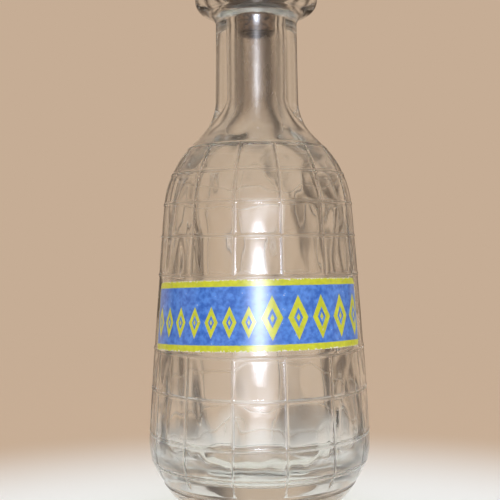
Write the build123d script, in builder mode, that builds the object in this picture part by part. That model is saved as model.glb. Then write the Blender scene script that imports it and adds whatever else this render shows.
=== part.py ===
from build123d import *
import os
from math import cos, radians, sin

# Syrup carafe: a quilted pressed-glass bottle, a corked metal pourer that lifts out of its mouth,
# and a stein-style lid that swings up over the pourer's bowl.
# Frame: origin at the centre of the resting face, +Z up, the label looks along -Y,
# the spout points along -X and the lid's hinge is at +X. Lengths in millimetres.

# ---- fits ----
CORK_FIT = 0.05  # radial gap between the cork and the bore, so that it lifts out
PIN_FIT = 0.05  # radial gap between the hinge pin and the lid's knuckle
TUBE_FIT = 0.03  # radial gap round a tube in the hole that holds it
KNUCKLE_GAP = 0.3  # side play between the knuckles
CUP_GAP = 1.4  # between the dish and the glass cup at the top
CUP_FLOOR_GAP = 4.0  # between the dish's bottom and the top of the bore

# ---- glass bottle: outer shape, from the foot up ----
FOOT_R = 32.0  # outer edge of the resting ring
FOOT_LAND = 3.5  # width of the resting ring
PUSH_UP = 4.0  # height of the hollow under the base
FOOT_H = 11.0  # height of the mould ledge
FOOT_BULGE = 0.85
LEDGE_DROP = 6.0  # how much less than the body the ledge measures, on the radius
LEDGE_STEP = 0.4
BODY_R = 48.0  # largest radius
HEEL_H = 19.0
HEEL_BULGE = 2.0
WALL_H = 100.5
WALL_TAPER = 7.1
WALL_BULGE = 0.4
SHOULDER_H = 24.6
SHOULDER_BULGE = 2.15
SLOPE_H = 5.9
THROAT_H = 13.5
THROAT_BULGE = 1.25
NECK_H = 34.8
NECK_TAPER = 0.5
BORE_R = 8.5
NECK_WALL = 9.2
NECK_R = BORE_R + NECK_WALL
THROAT_FLARE = 6.3  # how much wider than the neck the throat and the slope start
SLOPE_FLARE = 12.0

# ---- glass mouth ----
COLLAR_FLARE = 9.1
COLLAR_ROOT_OUT = 3.8
COLLAR_ROOT_H = 4.6
COLLAR_ROOT_BULGE = 0.75
COLLAR_SIDE_H = 6.0
COLLAR_SIDE_BULGE = 1.6
COLLAR_H = 3.1
RIM_ROUND = 2.3
RIM_ROUND_H = 6.0
RIM_BULGE = 1.2
COLLAR_R = NECK_R + COLLAR_FLARE
COLLAR_WALL = 6.2
CUP_R = COLLAR_R - COLLAR_WALL
CUP_LIP = 1.0
CUP_TAPER = 3.2
CUP_BULGE = 1.3

# ---- glass cavity ----
BASE_T = 14.0  # glass between the hollow underside and the floor
WALL_T = 4.6
FLOOR_ROUND = 15.0
FLOOR_BULGE = 4.2
FUNNEL_R = 21.5  # cavity radius where the shoulder turns into the funnel
FUNNEL_DROP = 1.1
FUNNEL_H = 22.0
CAVITY_SHOULDER_BULGE = 2.6
FUNNEL_BULGE = 2.8

# ---- quilting ----
PANELS = 14
RIB_PROUD = 0.3
RIB_ROOT = 1.0  # how deep the ribs reach into the wall
RING_W = 1.9
UPRIGHT_W = 1.4
UPRIGHT_FOOT = 4.0  # above the ledge
WALL_RINGS = (9.8, 22.2, 40.8, 57.8, 89.3, 105.6, 119.4)  # above the ledge
SHOULDER_RINGS = (12.6, 24.1)  # above the start of the shoulder
BAND_LOW = WALL_RINGS[3]
BAND_HIGH = WALL_RINGS[4]

# ---- label ----
LABEL_H = 28.1
LABEL_T = 0.15
LABEL_LIFT = 2.4  # above the ring below it
LABEL_LEFT = 69.5  # degrees round from the front
LABEL_RIGHT = 66.2

# ---- stopper: cork, tubes and dish ----
CORK_R = BORE_R - CORK_FIT
CORK_BELOW = 11.0  # cork below the dish
CORK_CHAMFER = 0.6
TUBE_R = 4.1
TUBE_WALL = 0.7
TUBE_LIP = 0.8
TUBE_LIP_T = 0.6
TUBE_SOCKET = 8.0
WASHER_T = 0.8
WASHER_INSET = 0.4
VENT_R = 1.1
VENT_WALL = 0.3
VENT_RISE = 2.0
VENT_CLEAR = 0.3  # between the vent tube and the stem
GASKET_T = 0.8
SHEET_T = 1.0
SHEET_EDGE = 0.33
DISH_DEPTH = 14.0
DISH_FLOOR_R = 9.5
DISH_CORNER = 4.0
DISH_CORNER_H = 3.2
DISH_BULGE = 0.7
FLANGE_OVERHANG = 3.4  # flange beyond the cup's edge

# ---- stopper: stem, bowl and spout ----
STEM_WALL = 1.0
STEM_SHAFT_H = 15.0
STEM_H = 24.0
STEM_TOP_R = 7.0
STEM_BULGE = 0.3
KNOP_R = 1.7
KNOP_OUT = 0.6
KNOP_DROP = 3.2
BOWL_R = 17.0
BOWL_H = 14.0
BOWL_SIDE_H = 8.0
BOWL_BULGE = 1.3
BEAD_R = 0.8
BEAK_REACH = 14.0
BEAK_W = 17.0
BEAK_D = 10.0
BEAK_TIP_W = 5.2
BEAK_TIP_D = 2.8
BEAK_INSIDE = 3.0

# ---- hinge ----
HINGE_OUT = 5.0
HINGE_UP = 1.5
PIN_R = 1.1
PIN_HEAD_R = 1.7
PIN_HEAD_T = 0.8
KNUCKLE_R = 2.4
LID_KNUCKLE_W = 4.6
FIXED_KNUCKLE_W = 2.8
BRACKET_T = 1.6
BRACKET_H = 5.4
ARM_DROP = 1.2
BRACKET_DROP = 2.3  # bracket's top below the bowl's edge
RIVET_R = 0.7
RIVET_HEAD_R = 1.2
RIVET_HEAD_T = 0.6
RIVET_TAIL = 0.5
BRACKET_RIVET_PITCH = 2.8

# ---- lid ----
LID_T = 1.2
LID_OVERHANG = 1.2
LID_TIP_R = 3.8
LID_TIP_INSET = 1.5
DOME_R = 12.4
DOME_TOP_R = 3.6
DOME_H = 6.0
DOME_BULGE = 1.1
STRAP_T = 1.0
STRAP_SPREAD = 15.0
STRAP_INSET = 0.4
STRAP_ROUND = 1.2
STRAP_RIVET_PITCH = 10.0
STUD_R = 1.2
NUT_ACROSS = 4.6
NUT_T = 1.8
FINIAL_FOOT_R = 2.9
FINIAL_FOOT_H = 0.9
FINIAL_NECK_R = 1.5
FINIAL_NECK_H = 1.6
FINIAL_BALL_R = 3.5
FINIAL_BALL_SUNK = 0.7  # how far the neck reaches into the ball
LEVER_T = 1.6
LEVER_W = 4.0
LEVER_REACH = 8.0
LEVER_RISE = 7.6
LEVER_BULGE = 1.1
LEVER_ROOT_OUT = 3.2
PAD_L = 7.0
PAD_W = 11.0
PAD_TILT = 40.0

# ---- places worked out from the sizes above ----
LEDGE_R = BODY_R - LEDGE_DROP
WALL_Z = FOOT_H + HEEL_H
SHOULDER_R = BODY_R - WALL_TAPER
SHOULDER_Z = WALL_Z + WALL_H
SLOPE_R = NECK_R + SLOPE_FLARE
SLOPE_Z = SHOULDER_Z + SHOULDER_H
THROAT_R = NECK_R + THROAT_FLARE
THROAT_Z = SLOPE_Z + SLOPE_H
NECK_Z = THROAT_Z + THROAT_H
COLLAR_ROOT_Z = NECK_Z + NECK_H
COLLAR_SIDE_Z = COLLAR_ROOT_Z + COLLAR_ROOT_H
COLLAR_Z = COLLAR_SIDE_Z + COLLAR_SIDE_H
RIM_EDGE_Z = COLLAR_Z + COLLAR_H
RIM_Z = RIM_EDGE_Z + RIM_ROUND_H
RIM_R = COLLAR_R - RIM_ROUND
FLOOR_Z = PUSH_UP + BASE_T
LABEL_Z = FOOT_H + BAND_LOW + LABEL_LIFT
PUSH_UP_R = ((FOOT_R - FOOT_LAND) ** 2 + PUSH_UP**2) / (2 * PUSH_UP)  # of the ball it is cut with

GASKET_Z = RIM_Z
FLANGE_Z = RIM_Z + GASKET_T
FLANGE_R = CUP_R + FLANGE_OVERHANG
DISH_Z = FLANGE_Z - DISH_DEPTH
DISH_R = CUP_R - CUP_GAP
BORE_TOP_Z = DISH_Z - CUP_FLOOR_GAP
CORK_Z = DISH_Z - CORK_BELOW
WASHER_Z = CORK_Z - WASHER_T
WASHER_R = CORK_R - WASHER_INSET
TUBE_Z = WASHER_Z - TUBE_LIP_T
TUBE_HOLE_R = TUBE_R + TUBE_FIT
STEM_R = TUBE_R + STEM_WALL
VENT_X = STEM_R + VENT_R + VENT_CLEAR
VENT_HOLE_R = VENT_R + TUBE_FIT
STEM_Z = DISH_Z + SHEET_T
STEM_TOP_Z = STEM_Z + STEM_H
KNOP_Z = STEM_TOP_Z - KNOP_DROP
SEAT_Z = STEM_TOP_Z + BOWL_H
BOWL_SIDE_Z = SEAT_Z - BOWL_SIDE_H
BEAD_Z = SEAT_Z - BEAD_R - KNUCKLE_GAP
BEAK_TIP_X = -(BOWL_R + BEAK_REACH)
BEAK_ROOT_X = -(BOWL_R - BEAK_INSIDE)

HINGE_X = BOWL_R + HINGE_OUT
HINGE_Z = SEAT_Z + HINGE_UP
KNUCKLE_Y = LID_KNUCKLE_W / 2 + KNUCKLE_GAP
BRACKET_W = 2 * (KNUCKLE_Y + FIXED_KNUCKLE_W)
BRACKET_TOP_Z = SEAT_Z - BRACKET_DROP
BRACKET_Z = BRACKET_TOP_Z - BRACKET_H

LID_R = BOWL_R + LID_OVERHANG
LID_TOP_Z = SEAT_Z + LID_T
DOME_TOP_Z = LID_TOP_Z + DOME_H
STRAP_X = DOME_R + STRAP_INSET
STRAP_RIVET_X = (STRAP_X + LID_R) / 2
NUT_Z = DOME_TOP_Z - SHEET_T - NUT_T
FINIAL_NECK_Z = DOME_TOP_Z + FINIAL_FOOT_H
FINIAL_BALL_Z = FINIAL_NECK_Z + FINIAL_NECK_H + FINIAL_BALL_R - FINIAL_BALL_SUNK
WIDE = 2 * BODY_R  # reaches past the glass in any direction


def glass_outline(proud=0.0):
    """Half section of the solid bottle, from the axis round to the axis; proud moves the wall out."""
    foot = (FOOT_R + proud, 0)
    ledge = (LEDGE_R + proud, FOOT_H)
    heel = (LEDGE_R - LEDGE_STEP + proud, FOOT_H)
    wall = (BODY_R + proud, WALL_Z)
    shoulder = (SHOULDER_R + proud, SHOULDER_Z)
    slope = (SLOPE_R + proud, SLOPE_Z)
    throat = (THROAT_R + proud, THROAT_Z)
    neck = (NECK_R + NECK_TAPER + proud, NECK_Z)
    collar_root = (NECK_R + proud, COLLAR_ROOT_Z)
    collar_side = (NECK_R + COLLAR_ROOT_OUT + proud, COLLAR_SIDE_Z)
    collar = (COLLAR_R + proud, COLLAR_Z)
    rim_edge = (COLLAR_R + proud, RIM_EDGE_Z)
    rim = (RIM_R + proud, RIM_Z)
    Line((0, 0), foot)
    SagittaArc(foot, ledge, -FOOT_BULGE)
    Line(ledge, heel)
    SagittaArc(heel, wall, -HEEL_BULGE)
    SagittaArc(wall, shoulder, -WALL_BULGE)
    SagittaArc(shoulder, slope, -SHOULDER_BULGE)
    Line(slope, throat)
    SagittaArc(throat, neck, THROAT_BULGE)
    Line(neck, collar_root)
    SagittaArc(collar_root, collar_side, COLLAR_ROOT_BULGE)
    SagittaArc(collar_side, collar, -COLLAR_SIDE_BULGE)
    Line(collar, rim_edge)
    SagittaArc(rim_edge, rim, -RIM_BULGE)
    Line(rim, (0, RIM_Z))
    Line((0, RIM_Z), (0, 0))


def cavity_outline():
    """Half section of the space inside the bottle, floor to rim."""
    floor = (BODY_R - WALL_T - FLOOR_ROUND, FLOOR_Z)
    wall = (BODY_R - WALL_T, FLOOR_Z + FLOOR_ROUND)
    shoulder = (SHOULDER_R - WALL_T, SHOULDER_Z)
    funnel = (FUNNEL_R, SLOPE_Z - FUNNEL_DROP)
    bore = (BORE_R, SLOPE_Z - FUNNEL_DROP + FUNNEL_H)
    lip = (BORE_R, BORE_TOP_Z)
    cup = (BORE_R + CUP_TAPER, BORE_TOP_Z + CUP_FLOOR_GAP / 2)
    side = (CUP_R - CUP_TAPER, BORE_TOP_Z + DISH_DEPTH / 2 + CUP_LIP)
    edge = (CUP_R - CUP_LIP, RIM_Z - CUP_LIP)
    rim = (CUP_R, RIM_Z)
    Line((0, FLOOR_Z), floor)
    SagittaArc(floor, wall, -FLOOR_BULGE)
    SagittaArc(wall, shoulder, -WALL_BULGE)
    SagittaArc(shoulder, funnel, -CAVITY_SHOULDER_BULGE)
    SagittaArc(funnel, bore, FUNNEL_BULGE)
    Line(bore, lip)
    SagittaArc(lip, cup, CUP_LIP / 2)
    SagittaArc(cup, side, -CUP_BULGE)
    Line(side, edge)
    SagittaArc(edge, rim, CUP_LIP / 4)
    Line(rim, (0, RIM_Z))
    Line((0, RIM_Z), (0, FLOOR_Z))


def dish_outline(wall=0.0):
    """Half section of the dish's body below its flange; wall draws the inside instead."""
    corner = (DISH_FLOOR_R + DISH_CORNER - wall, DISH_Z + DISH_CORNER_H + wall / 2)
    Line((0, DISH_Z + wall), (DISH_FLOOR_R - wall / 2, DISH_Z + wall))
    SagittaArc((DISH_FLOOR_R - wall / 2, DISH_Z + wall), corner, -DISH_BULGE)
    Line(corner, (DISH_R - wall, FLANGE_Z + wall))
    Line((DISH_R - wall, FLANGE_Z + wall), (0, FLANGE_Z + wall))
    Line((0, FLANGE_Z + wall), (0, DISH_Z + wall))


def bowl_outline(wall=0.0):
    """Half section of the pourer's bowl; wall draws the inside instead."""
    foot = (STEM_TOP_R - wall / 2, STEM_TOP_Z + wall)
    side = (BOWL_R - wall, BOWL_SIDE_Z + wall / 2)
    Line((0, STEM_TOP_Z + wall), foot)
    SagittaArc(foot, side, -BOWL_BULGE)
    Line(side, (BOWL_R - wall, SEAT_Z))
    Line((BOWL_R - wall, SEAT_Z), (0, SEAT_Z))
    Line((0, SEAT_Z), (0, STEM_TOP_Z + wall))


def half_oval(width, depth, top):
    """Half-oval with its flat side up at the lid's seat; top raises the flat side by that much."""
    with Locations((0, SEAT_Z)):
        Ellipse(width / 2, depth)
        Rectangle(WIDE, WIDE, align=(Align.CENTER, Align.MIN), mode=Mode.SUBTRACT)
        if top:
            Rectangle(width, top, align=(Align.CENTER, Align.MIN))


os.makedirs("parts", exist_ok=True)

# ---- glass ----
with BuildPart() as rib_lattice:
    for rise in WALL_RINGS:
        with BuildSketch(Plane.XY.offset(FOOT_H + rise - RING_W / 2)):
            Circle(WIDE)
        extrude(amount=RING_W)
    for rise in SHOULDER_RINGS:
        with BuildSketch(Plane.XY.offset(SHOULDER_Z + rise - RING_W / 2)):
            Circle(WIDE)
        extrude(amount=RING_W)
    for low, high in (
        (FOOT_H + UPRIGHT_FOOT, FOOT_H + BAND_LOW),
        (FOOT_H + BAND_HIGH, SHOULDER_Z + SHOULDER_RINGS[-1]),
    ):
        with BuildSketch(Plane.XY.offset(low)):
            with PolarLocations(0, PANELS, start_angle=-90 + 180 / PANELS):
                Rectangle(WIDE, UPRIGHT_W, align=(Align.MIN, Align.CENTER))
        extrude(amount=high - low)
    with BuildSketch(Plane.XZ):
        with BuildLine():
            glass_outline(RIB_PROUD)
        make_face()
    revolve(axis=Axis.Z, mode=Mode.INTERSECT)
    with BuildSketch(Plane.XZ):
        with BuildLine():
            glass_outline(-RIB_ROOT)
        make_face()
    revolve(axis=Axis.Z, mode=Mode.SUBTRACT)

with BuildPart() as bottle:
    with BuildSketch(Plane.XZ):
        with BuildLine():
            glass_outline()
        make_face()
    revolve(axis=Axis.Z)
    with BuildSketch(Plane.XZ):
        with BuildLine():
            cavity_outline()
        make_face()
    revolve(axis=Axis.Z, mode=Mode.SUBTRACT)
    with Locations((0, 0, PUSH_UP - PUSH_UP_R)):
        Sphere(PUSH_UP_R, mode=Mode.SUBTRACT)
    add(rib_lattice.part)
bottle.part.label = "bottle"
export_step(bottle.part, "parts/bottle.step")

# ---- label: a straight strip of paper round the front of the plain band ----
with BuildPart() as label:
    with BuildSketch(Plane.XZ):
        with BuildLine():
            glass_outline(LABEL_T)
        make_face()
    revolve(axis=Axis.Z)
    with BuildSketch(Plane.XZ):
        with BuildLine():
            glass_outline()
        make_face()
    revolve(axis=Axis.Z, mode=Mode.SUBTRACT)
    label_left = radians(-90 - LABEL_LEFT)
    label_right = radians(-90 + LABEL_RIGHT)
    with BuildSketch(Plane.XY.offset(LABEL_Z)):
        with BuildLine():
            Polyline(
                (0, 0),
                (2 * WIDE * cos(label_left), 2 * WIDE * sin(label_left)),
                (2 * WIDE * cos(label_right), 2 * WIDE * sin(label_right)),
                close=True,
            )
        make_face()
    extrude(amount=LABEL_H, mode=Mode.INTERSECT)
label.part.label = "label"
export_step(label.part, "parts/label.step")

# ---- stopper: what sits in the neck ----
with BuildPart() as cork:
    with BuildSketch(Plane.XY.offset(CORK_Z)):
        Circle(CORK_R)
        Circle(TUBE_HOLE_R, mode=Mode.SUBTRACT)
        with Locations((VENT_X, 0)):
            Circle(VENT_HOLE_R, mode=Mode.SUBTRACT)
    extrude(amount=CORK_BELOW)
    chamfer(cork.faces().sort_by(Axis.Z)[0].outer_wire().edges(), CORK_CHAMFER)
cork.part.label = "cork"
export_step(cork.part, "parts/cork.step")

with BuildPart() as cork_washer:
    with BuildSketch(Plane.XY.offset(WASHER_Z)):
        Circle(WASHER_R)
        Circle(TUBE_HOLE_R, mode=Mode.SUBTRACT)
        with Locations((VENT_X, 0)):
            Circle(VENT_HOLE_R, mode=Mode.SUBTRACT)
    extrude(amount=WASHER_T)
cork_washer.part.label = "cork_washer"
export_step(cork_washer.part, "parts/cork_washer.step")

with BuildPart() as pour_tube:
    with BuildSketch(Plane.XY.offset(TUBE_Z)):
        Circle(TUBE_R + TUBE_LIP)
        Circle(TUBE_R - TUBE_WALL, mode=Mode.SUBTRACT)
    extrude(amount=TUBE_LIP_T)
    with BuildSketch(Plane.XY.offset(TUBE_Z)):
        Circle(TUBE_R)
        Circle(TUBE_R - TUBE_WALL, mode=Mode.SUBTRACT)
    extrude(amount=STEM_Z + TUBE_SOCKET - TUBE_Z)
pour_tube.part.label = "pour_tube"
export_step(pour_tube.part, "parts/pour_tube.step")

with BuildPart() as vent_tube:
    with BuildSketch(Plane.XY.offset(WASHER_Z)):
        with Locations((VENT_X, 0)):
            Circle(VENT_R)
            Circle(VENT_R - VENT_WALL, mode=Mode.SUBTRACT)
    extrude(amount=STEM_Z + VENT_RISE - WASHER_Z)
vent_tube.part.label = "vent_tube"
export_step(vent_tube.part, "parts/vent_tube.step")

with BuildPart() as rim_gasket:
    with BuildSketch(Plane.XY.offset(GASKET_Z)):
        Circle(FLANGE_R)
        Circle(CUP_R, mode=Mode.SUBTRACT)
    extrude(amount=GASKET_T)
rim_gasket.part.label = "rim_gasket"
export_step(rim_gasket.part, "parts/rim_gasket.step")

with BuildPart() as drip_dish:
    with BuildSketch(Plane.XZ):
        with BuildLine():
            dish_outline()
        make_face()
    revolve(axis=Axis.Z)
    with BuildSketch(Plane.XY.offset(FLANGE_Z)):
        Circle(FLANGE_R)
    extrude(amount=SHEET_T)
    fillet(drip_dish.faces().sort_by(Axis.Z)[-1].edges(), SHEET_EDGE)
    with BuildSketch(Plane.XZ):
        with BuildLine():
            dish_outline(SHEET_T)
        make_face()
    revolve(axis=Axis.Z, mode=Mode.SUBTRACT)
    with BuildSketch(Plane.XY.offset(DISH_Z)):
        Circle(TUBE_HOLE_R)
        with Locations((VENT_X, 0)):
            Circle(VENT_HOLE_R)
    extrude(amount=SHEET_T, mode=Mode.SUBTRACT)
drip_dish.part.label = "drip_dish"
export_step(drip_dish.part, "parts/drip_dish.step")

# ---- stopper: what stands on the dish ----
with BuildPart() as stem:
    with BuildSketch(Plane.XZ):
        with BuildLine():
            shaft = (STEM_R, STEM_Z + STEM_SHAFT_H)
            top = (STEM_TOP_R, STEM_TOP_Z)
            Line((0, STEM_Z), (STEM_R, STEM_Z))
            Line((STEM_R, STEM_Z), shaft)
            SagittaArc(shaft, top, STEM_BULGE)
            Line(top, (0, STEM_TOP_Z))
            Line((0, STEM_TOP_Z), (0, STEM_Z))
        make_face()
    revolve(axis=Axis.Z)
    with BuildSketch(Plane.XY.offset(STEM_Z)):
        Circle(TUBE_HOLE_R)
    extrude(amount=TUBE_SOCKET, mode=Mode.SUBTRACT)
    with BuildSketch(Plane.XY.offset(STEM_Z)):
        Circle(TUBE_R - TUBE_WALL)
    extrude(amount=STEM_H, mode=Mode.SUBTRACT)
stem.part.label = "stem"
export_step(stem.part, "parts/stem.step")

with BuildPart() as stem_knop:
    with BuildSketch(Plane.XZ):
        with Locations((STEM_R + KNOP_OUT, KNOP_Z)):
            Circle(KNOP_R)
    revolve(axis=Axis.Z)
    add(stem.part, mode=Mode.SUBTRACT)
    with BuildSketch(Plane.XY.offset(STEM_Z)):
        Circle(STEM_R)
    extrude(amount=STEM_H, mode=Mode.SUBTRACT)
stem_knop.part.label = "stem_knop"
export_step(stem_knop.part, "parts/stem_knop.step")

with BuildPart() as beak_hollow:
    with BuildSketch(Plane.YZ.offset(BEAK_ROOT_X)):
        half_oval(BEAK_W - 2 * SHEET_T, BEAK_D - SHEET_T, SHEET_T)
    with BuildSketch(Plane.YZ.offset(BEAK_TIP_X - SHEET_T)):
        half_oval(BEAK_TIP_W - 2 * SHEET_T, BEAK_TIP_D - SHEET_T, SHEET_T)
    loft()

with BuildPart() as bowl_solid:
    with BuildSketch(Plane.XZ):
        with BuildLine():
            bowl_outline()
        make_face()
    revolve(axis=Axis.Z)

with BuildPart() as spout_beak:
    with BuildSketch(Plane.YZ.offset(BEAK_ROOT_X)):
        half_oval(BEAK_W, BEAK_D, 0)
    with BuildSketch(Plane.YZ.offset(BEAK_TIP_X)):
        half_oval(BEAK_TIP_W, BEAK_TIP_D, 0)
    loft()
    add(beak_hollow.part, mode=Mode.SUBTRACT)
    add(bowl_solid.part, mode=Mode.SUBTRACT)
spout_beak.part.label = "spout_beak"
export_step(spout_beak.part, "parts/spout_beak.step")

with BuildPart() as rivet_shanks:
    for side in (-0.5, 0.5):
        rivet_z = (BRACKET_TOP_Z + BRACKET_Z) / 2 + side * BRACKET_RIVET_PITCH
        with BuildSketch(Plane.YZ.offset(BOWL_R - SHEET_T - RIVET_TAIL)):
            with Locations((0, rivet_z)):
                Circle(RIVET_R)
        extrude(amount=RIVET_TAIL + SHEET_T + BRACKET_T)

with BuildPart() as pouring_bowl:
    add(bowl_solid.part)
    with BuildSketch(Plane.XZ):
        with BuildLine():
            bowl_outline(SHEET_T)
        make_face()
    revolve(axis=Axis.Z, mode=Mode.SUBTRACT)
    add(beak_hollow.part, mode=Mode.SUBTRACT)
    add(rivet_shanks.part, mode=Mode.SUBTRACT)
    with BuildSketch(Plane.XY.offset(STEM_TOP_Z)):
        Circle(TUBE_R - TUBE_WALL)
    extrude(amount=SHEET_T, mode=Mode.SUBTRACT)
pouring_bowl.part.label = "pouring_bowl"
export_step(pouring_bowl.part, "parts/pouring_bowl.step")

with BuildPart() as rim_bead:
    with BuildSketch(Plane.XZ):
        with Locations((BOWL_R, BEAD_Z)):
            Circle(BEAD_R)
    revolve(axis=Axis.Z)
    add(bowl_solid.part, mode=Mode.SUBTRACT)
    with BuildSketch(Plane.YZ.offset(BEAK_ROOT_X)):
        half_oval(BEAK_W, BEAK_D, SHEET_T)
    with BuildSketch(Plane.YZ.offset(BEAK_TIP_X)):
        half_oval(BEAK_TIP_W, BEAK_TIP_D, SHEET_T)
    loft(mode=Mode.SUBTRACT)
rim_bead.part.label = "rim_bead"
export_step(rim_bead.part, "parts/rim_bead.step")

# ---- hinge ----
with BuildPart() as hinge_bracket:
    with BuildSketch(Plane.XY.offset(BRACKET_Z)):
        with Locations((BOWL_R - SHEET_T, 0)):
            Rectangle(SHEET_T + BRACKET_T, BRACKET_W, align=(Align.MIN, Align.CENTER))
    extrude(amount=BRACKET_H)
    for side in (-1, 1):
        with BuildSketch(Plane.XZ.offset(-side * KNUCKLE_Y)):
            with Locations((HINGE_X, HINGE_Z)):
                Circle(KNUCKLE_R)
            with Locations((BOWL_R + BRACKET_T / 2, (BRACKET_Z + BRACKET_TOP_Z - ARM_DROP) / 2)):
                Rectangle(BRACKET_T, BRACKET_H - ARM_DROP)
            make_hull()
        extrude(amount=-side * FIXED_KNUCKLE_W)
    add(bowl_solid.part, mode=Mode.SUBTRACT)
    add(rim_bead.part, mode=Mode.SUBTRACT)
    add(rivet_shanks.part, mode=Mode.SUBTRACT)
    with BuildSketch(Plane.XZ.offset(-BRACKET_W)):
        with Locations((HINGE_X, HINGE_Z)):
            Circle(PIN_R)
    extrude(amount=2 * BRACKET_W, mode=Mode.SUBTRACT)
hinge_bracket.part.label = "hinge_bracket"
export_step(hinge_bracket.part, "parts/hinge_bracket.step")

with BuildPart() as bracket_rivets:
    add(rivet_shanks.part)
    for side in (-0.5, 0.5):
        rivet_z = (BRACKET_TOP_Z + BRACKET_Z) / 2 + side * BRACKET_RIVET_PITCH
        with BuildSketch(Plane.YZ.offset(BOWL_R + BRACKET_T)):
            with Locations((0, rivet_z)):
                Circle(RIVET_HEAD_R)
        extrude(amount=RIVET_HEAD_T)
    chamfer(bracket_rivets.faces().sort_by(Axis.X)[-2:].edges(), RIVET_HEAD_T / 2)
bracket_rivets.part.label = "bracket_rivets"
export_step(bracket_rivets.part, "parts/bracket_rivets.step")

with BuildPart() as hinge_pin:
    with BuildSketch(Plane.XZ.offset(-BRACKET_W / 2)):
        with Locations((HINGE_X, HINGE_Z)):
            Circle(PIN_R)
    extrude(amount=BRACKET_W)
    for side in (-1, 1):
        with BuildSketch(Plane.XZ.offset(side * BRACKET_W / 2)):
            with Locations((HINGE_X, HINGE_Z)):
                Circle(PIN_HEAD_R)
        extrude(amount=side * PIN_HEAD_T)
    chamfer(hinge_pin.faces().sort_by(Axis.Y)[0].edges(), PIN_HEAD_T / 2)
    chamfer(hinge_pin.faces().sort_by(Axis.Y)[-1].edges(), PIN_HEAD_T / 2)
hinge_pin.part.label = "hinge_pin"
export_step(hinge_pin.part, "parts/hinge_pin.step")

# ---- lid ----
with BuildPart() as lid_rivet_shanks:
    with BuildSketch(Plane.XY.offset(SEAT_Z)):
        with Locations((STRAP_RIVET_X, -STRAP_RIVET_PITCH / 2), (STRAP_RIVET_X, STRAP_RIVET_PITCH / 2)):
            Circle(RIVET_R)
    extrude(amount=LID_T + STRAP_T)

with BuildPart() as lid_shell:
    with BuildSketch(Plane.XY.offset(SEAT_Z)):
        Circle(LID_R)
        with Locations((BEAK_TIP_X + LID_TIP_INSET, 0)):
            Circle(LID_TIP_R)
        make_hull()
    extrude(amount=LID_T)
    with BuildSketch(Plane.XZ):
        with BuildLine():
            Line((0, SEAT_Z), (DOME_R, SEAT_Z))
            Line((DOME_R, SEAT_Z), (DOME_R, LID_TOP_Z))
            SagittaArc((DOME_R, LID_TOP_Z), (DOME_TOP_R, DOME_TOP_Z), -DOME_BULGE)
            Line((DOME_TOP_R, DOME_TOP_Z), (0, DOME_TOP_Z))
            Line((0, DOME_TOP_Z), (0, SEAT_Z))
        make_face()
    revolve(axis=Axis.Z)
    with BuildSketch(Plane.XZ):
        with BuildLine():
            dome_inner_r = DOME_R - SHEET_T
            Line((0, SEAT_Z), (dome_inner_r, SEAT_Z))
            Line((dome_inner_r, SEAT_Z), (dome_inner_r, LID_TOP_Z))
            SagittaArc((dome_inner_r, LID_TOP_Z), (DOME_TOP_R, DOME_TOP_Z - SHEET_T), -DOME_BULGE)
            Line((DOME_TOP_R, DOME_TOP_Z - SHEET_T), (0, DOME_TOP_Z - SHEET_T))
            Line((0, DOME_TOP_Z - SHEET_T), (0, SEAT_Z))
        make_face()
    revolve(axis=Axis.Z, mode=Mode.SUBTRACT)
    with BuildSketch(Plane.XY.offset(SEAT_Z)):
        Circle(STUD_R)
    extrude(amount=LID_T + DOME_H, mode=Mode.SUBTRACT)
    add(lid_rivet_shanks.part, mode=Mode.SUBTRACT)
lid_shell.part.label = "lid_shell"
export_step(lid_shell.part, "parts/lid_shell.step")

with BuildPart() as lid_strap:
    with BuildSketch(Plane.XZ.offset(-LID_KNUCKLE_W / 2)):
        with Locations((HINGE_X, HINGE_Z)):
            Circle(KNUCKLE_R)
        with Locations((STRAP_X, LID_TOP_Z)):
            Rectangle(HINGE_X - STRAP_X, STRAP_T, align=(Align.MIN, Align.MIN))
    extrude(amount=LID_KNUCKLE_W)
    with BuildSketch(Plane.XY.offset(LID_TOP_Z)):
        with Locations((STRAP_X, 0)):
            Rectangle(LID_R - STRAP_X, STRAP_SPREAD, align=(Align.MIN, Align.CENTER))
        fillet(vertices(), STRAP_ROUND)
    extrude(amount=STRAP_T)
    with BuildSketch(Plane.XZ.offset(-LID_KNUCKLE_W)):
        with Locations((HINGE_X, HINGE_Z)):
            Circle(PIN_R + PIN_FIT)
    extrude(amount=2 * LID_KNUCKLE_W, mode=Mode.SUBTRACT)
    add(lid_rivet_shanks.part, mode=Mode.SUBTRACT)
lid_strap.part.label = "lid_strap"
export_step(lid_strap.part, "parts/lid_strap.step")

with BuildPart() as strap_rivets:
    add(lid_rivet_shanks.part)
    with BuildSketch(Plane.XY.offset(LID_TOP_Z + STRAP_T)):
        with Locations((STRAP_RIVET_X, -STRAP_RIVET_PITCH / 2), (STRAP_RIVET_X, STRAP_RIVET_PITCH / 2)):
            Circle(RIVET_HEAD_R)
    extrude(amount=RIVET_HEAD_T)
    chamfer(strap_rivets.faces().sort_by(Axis.Z)[-2:].edges(), RIVET_HEAD_T / 2)
strap_rivets.part.label = "strap_rivets"
export_step(strap_rivets.part, "parts/strap_rivets.step")

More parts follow.
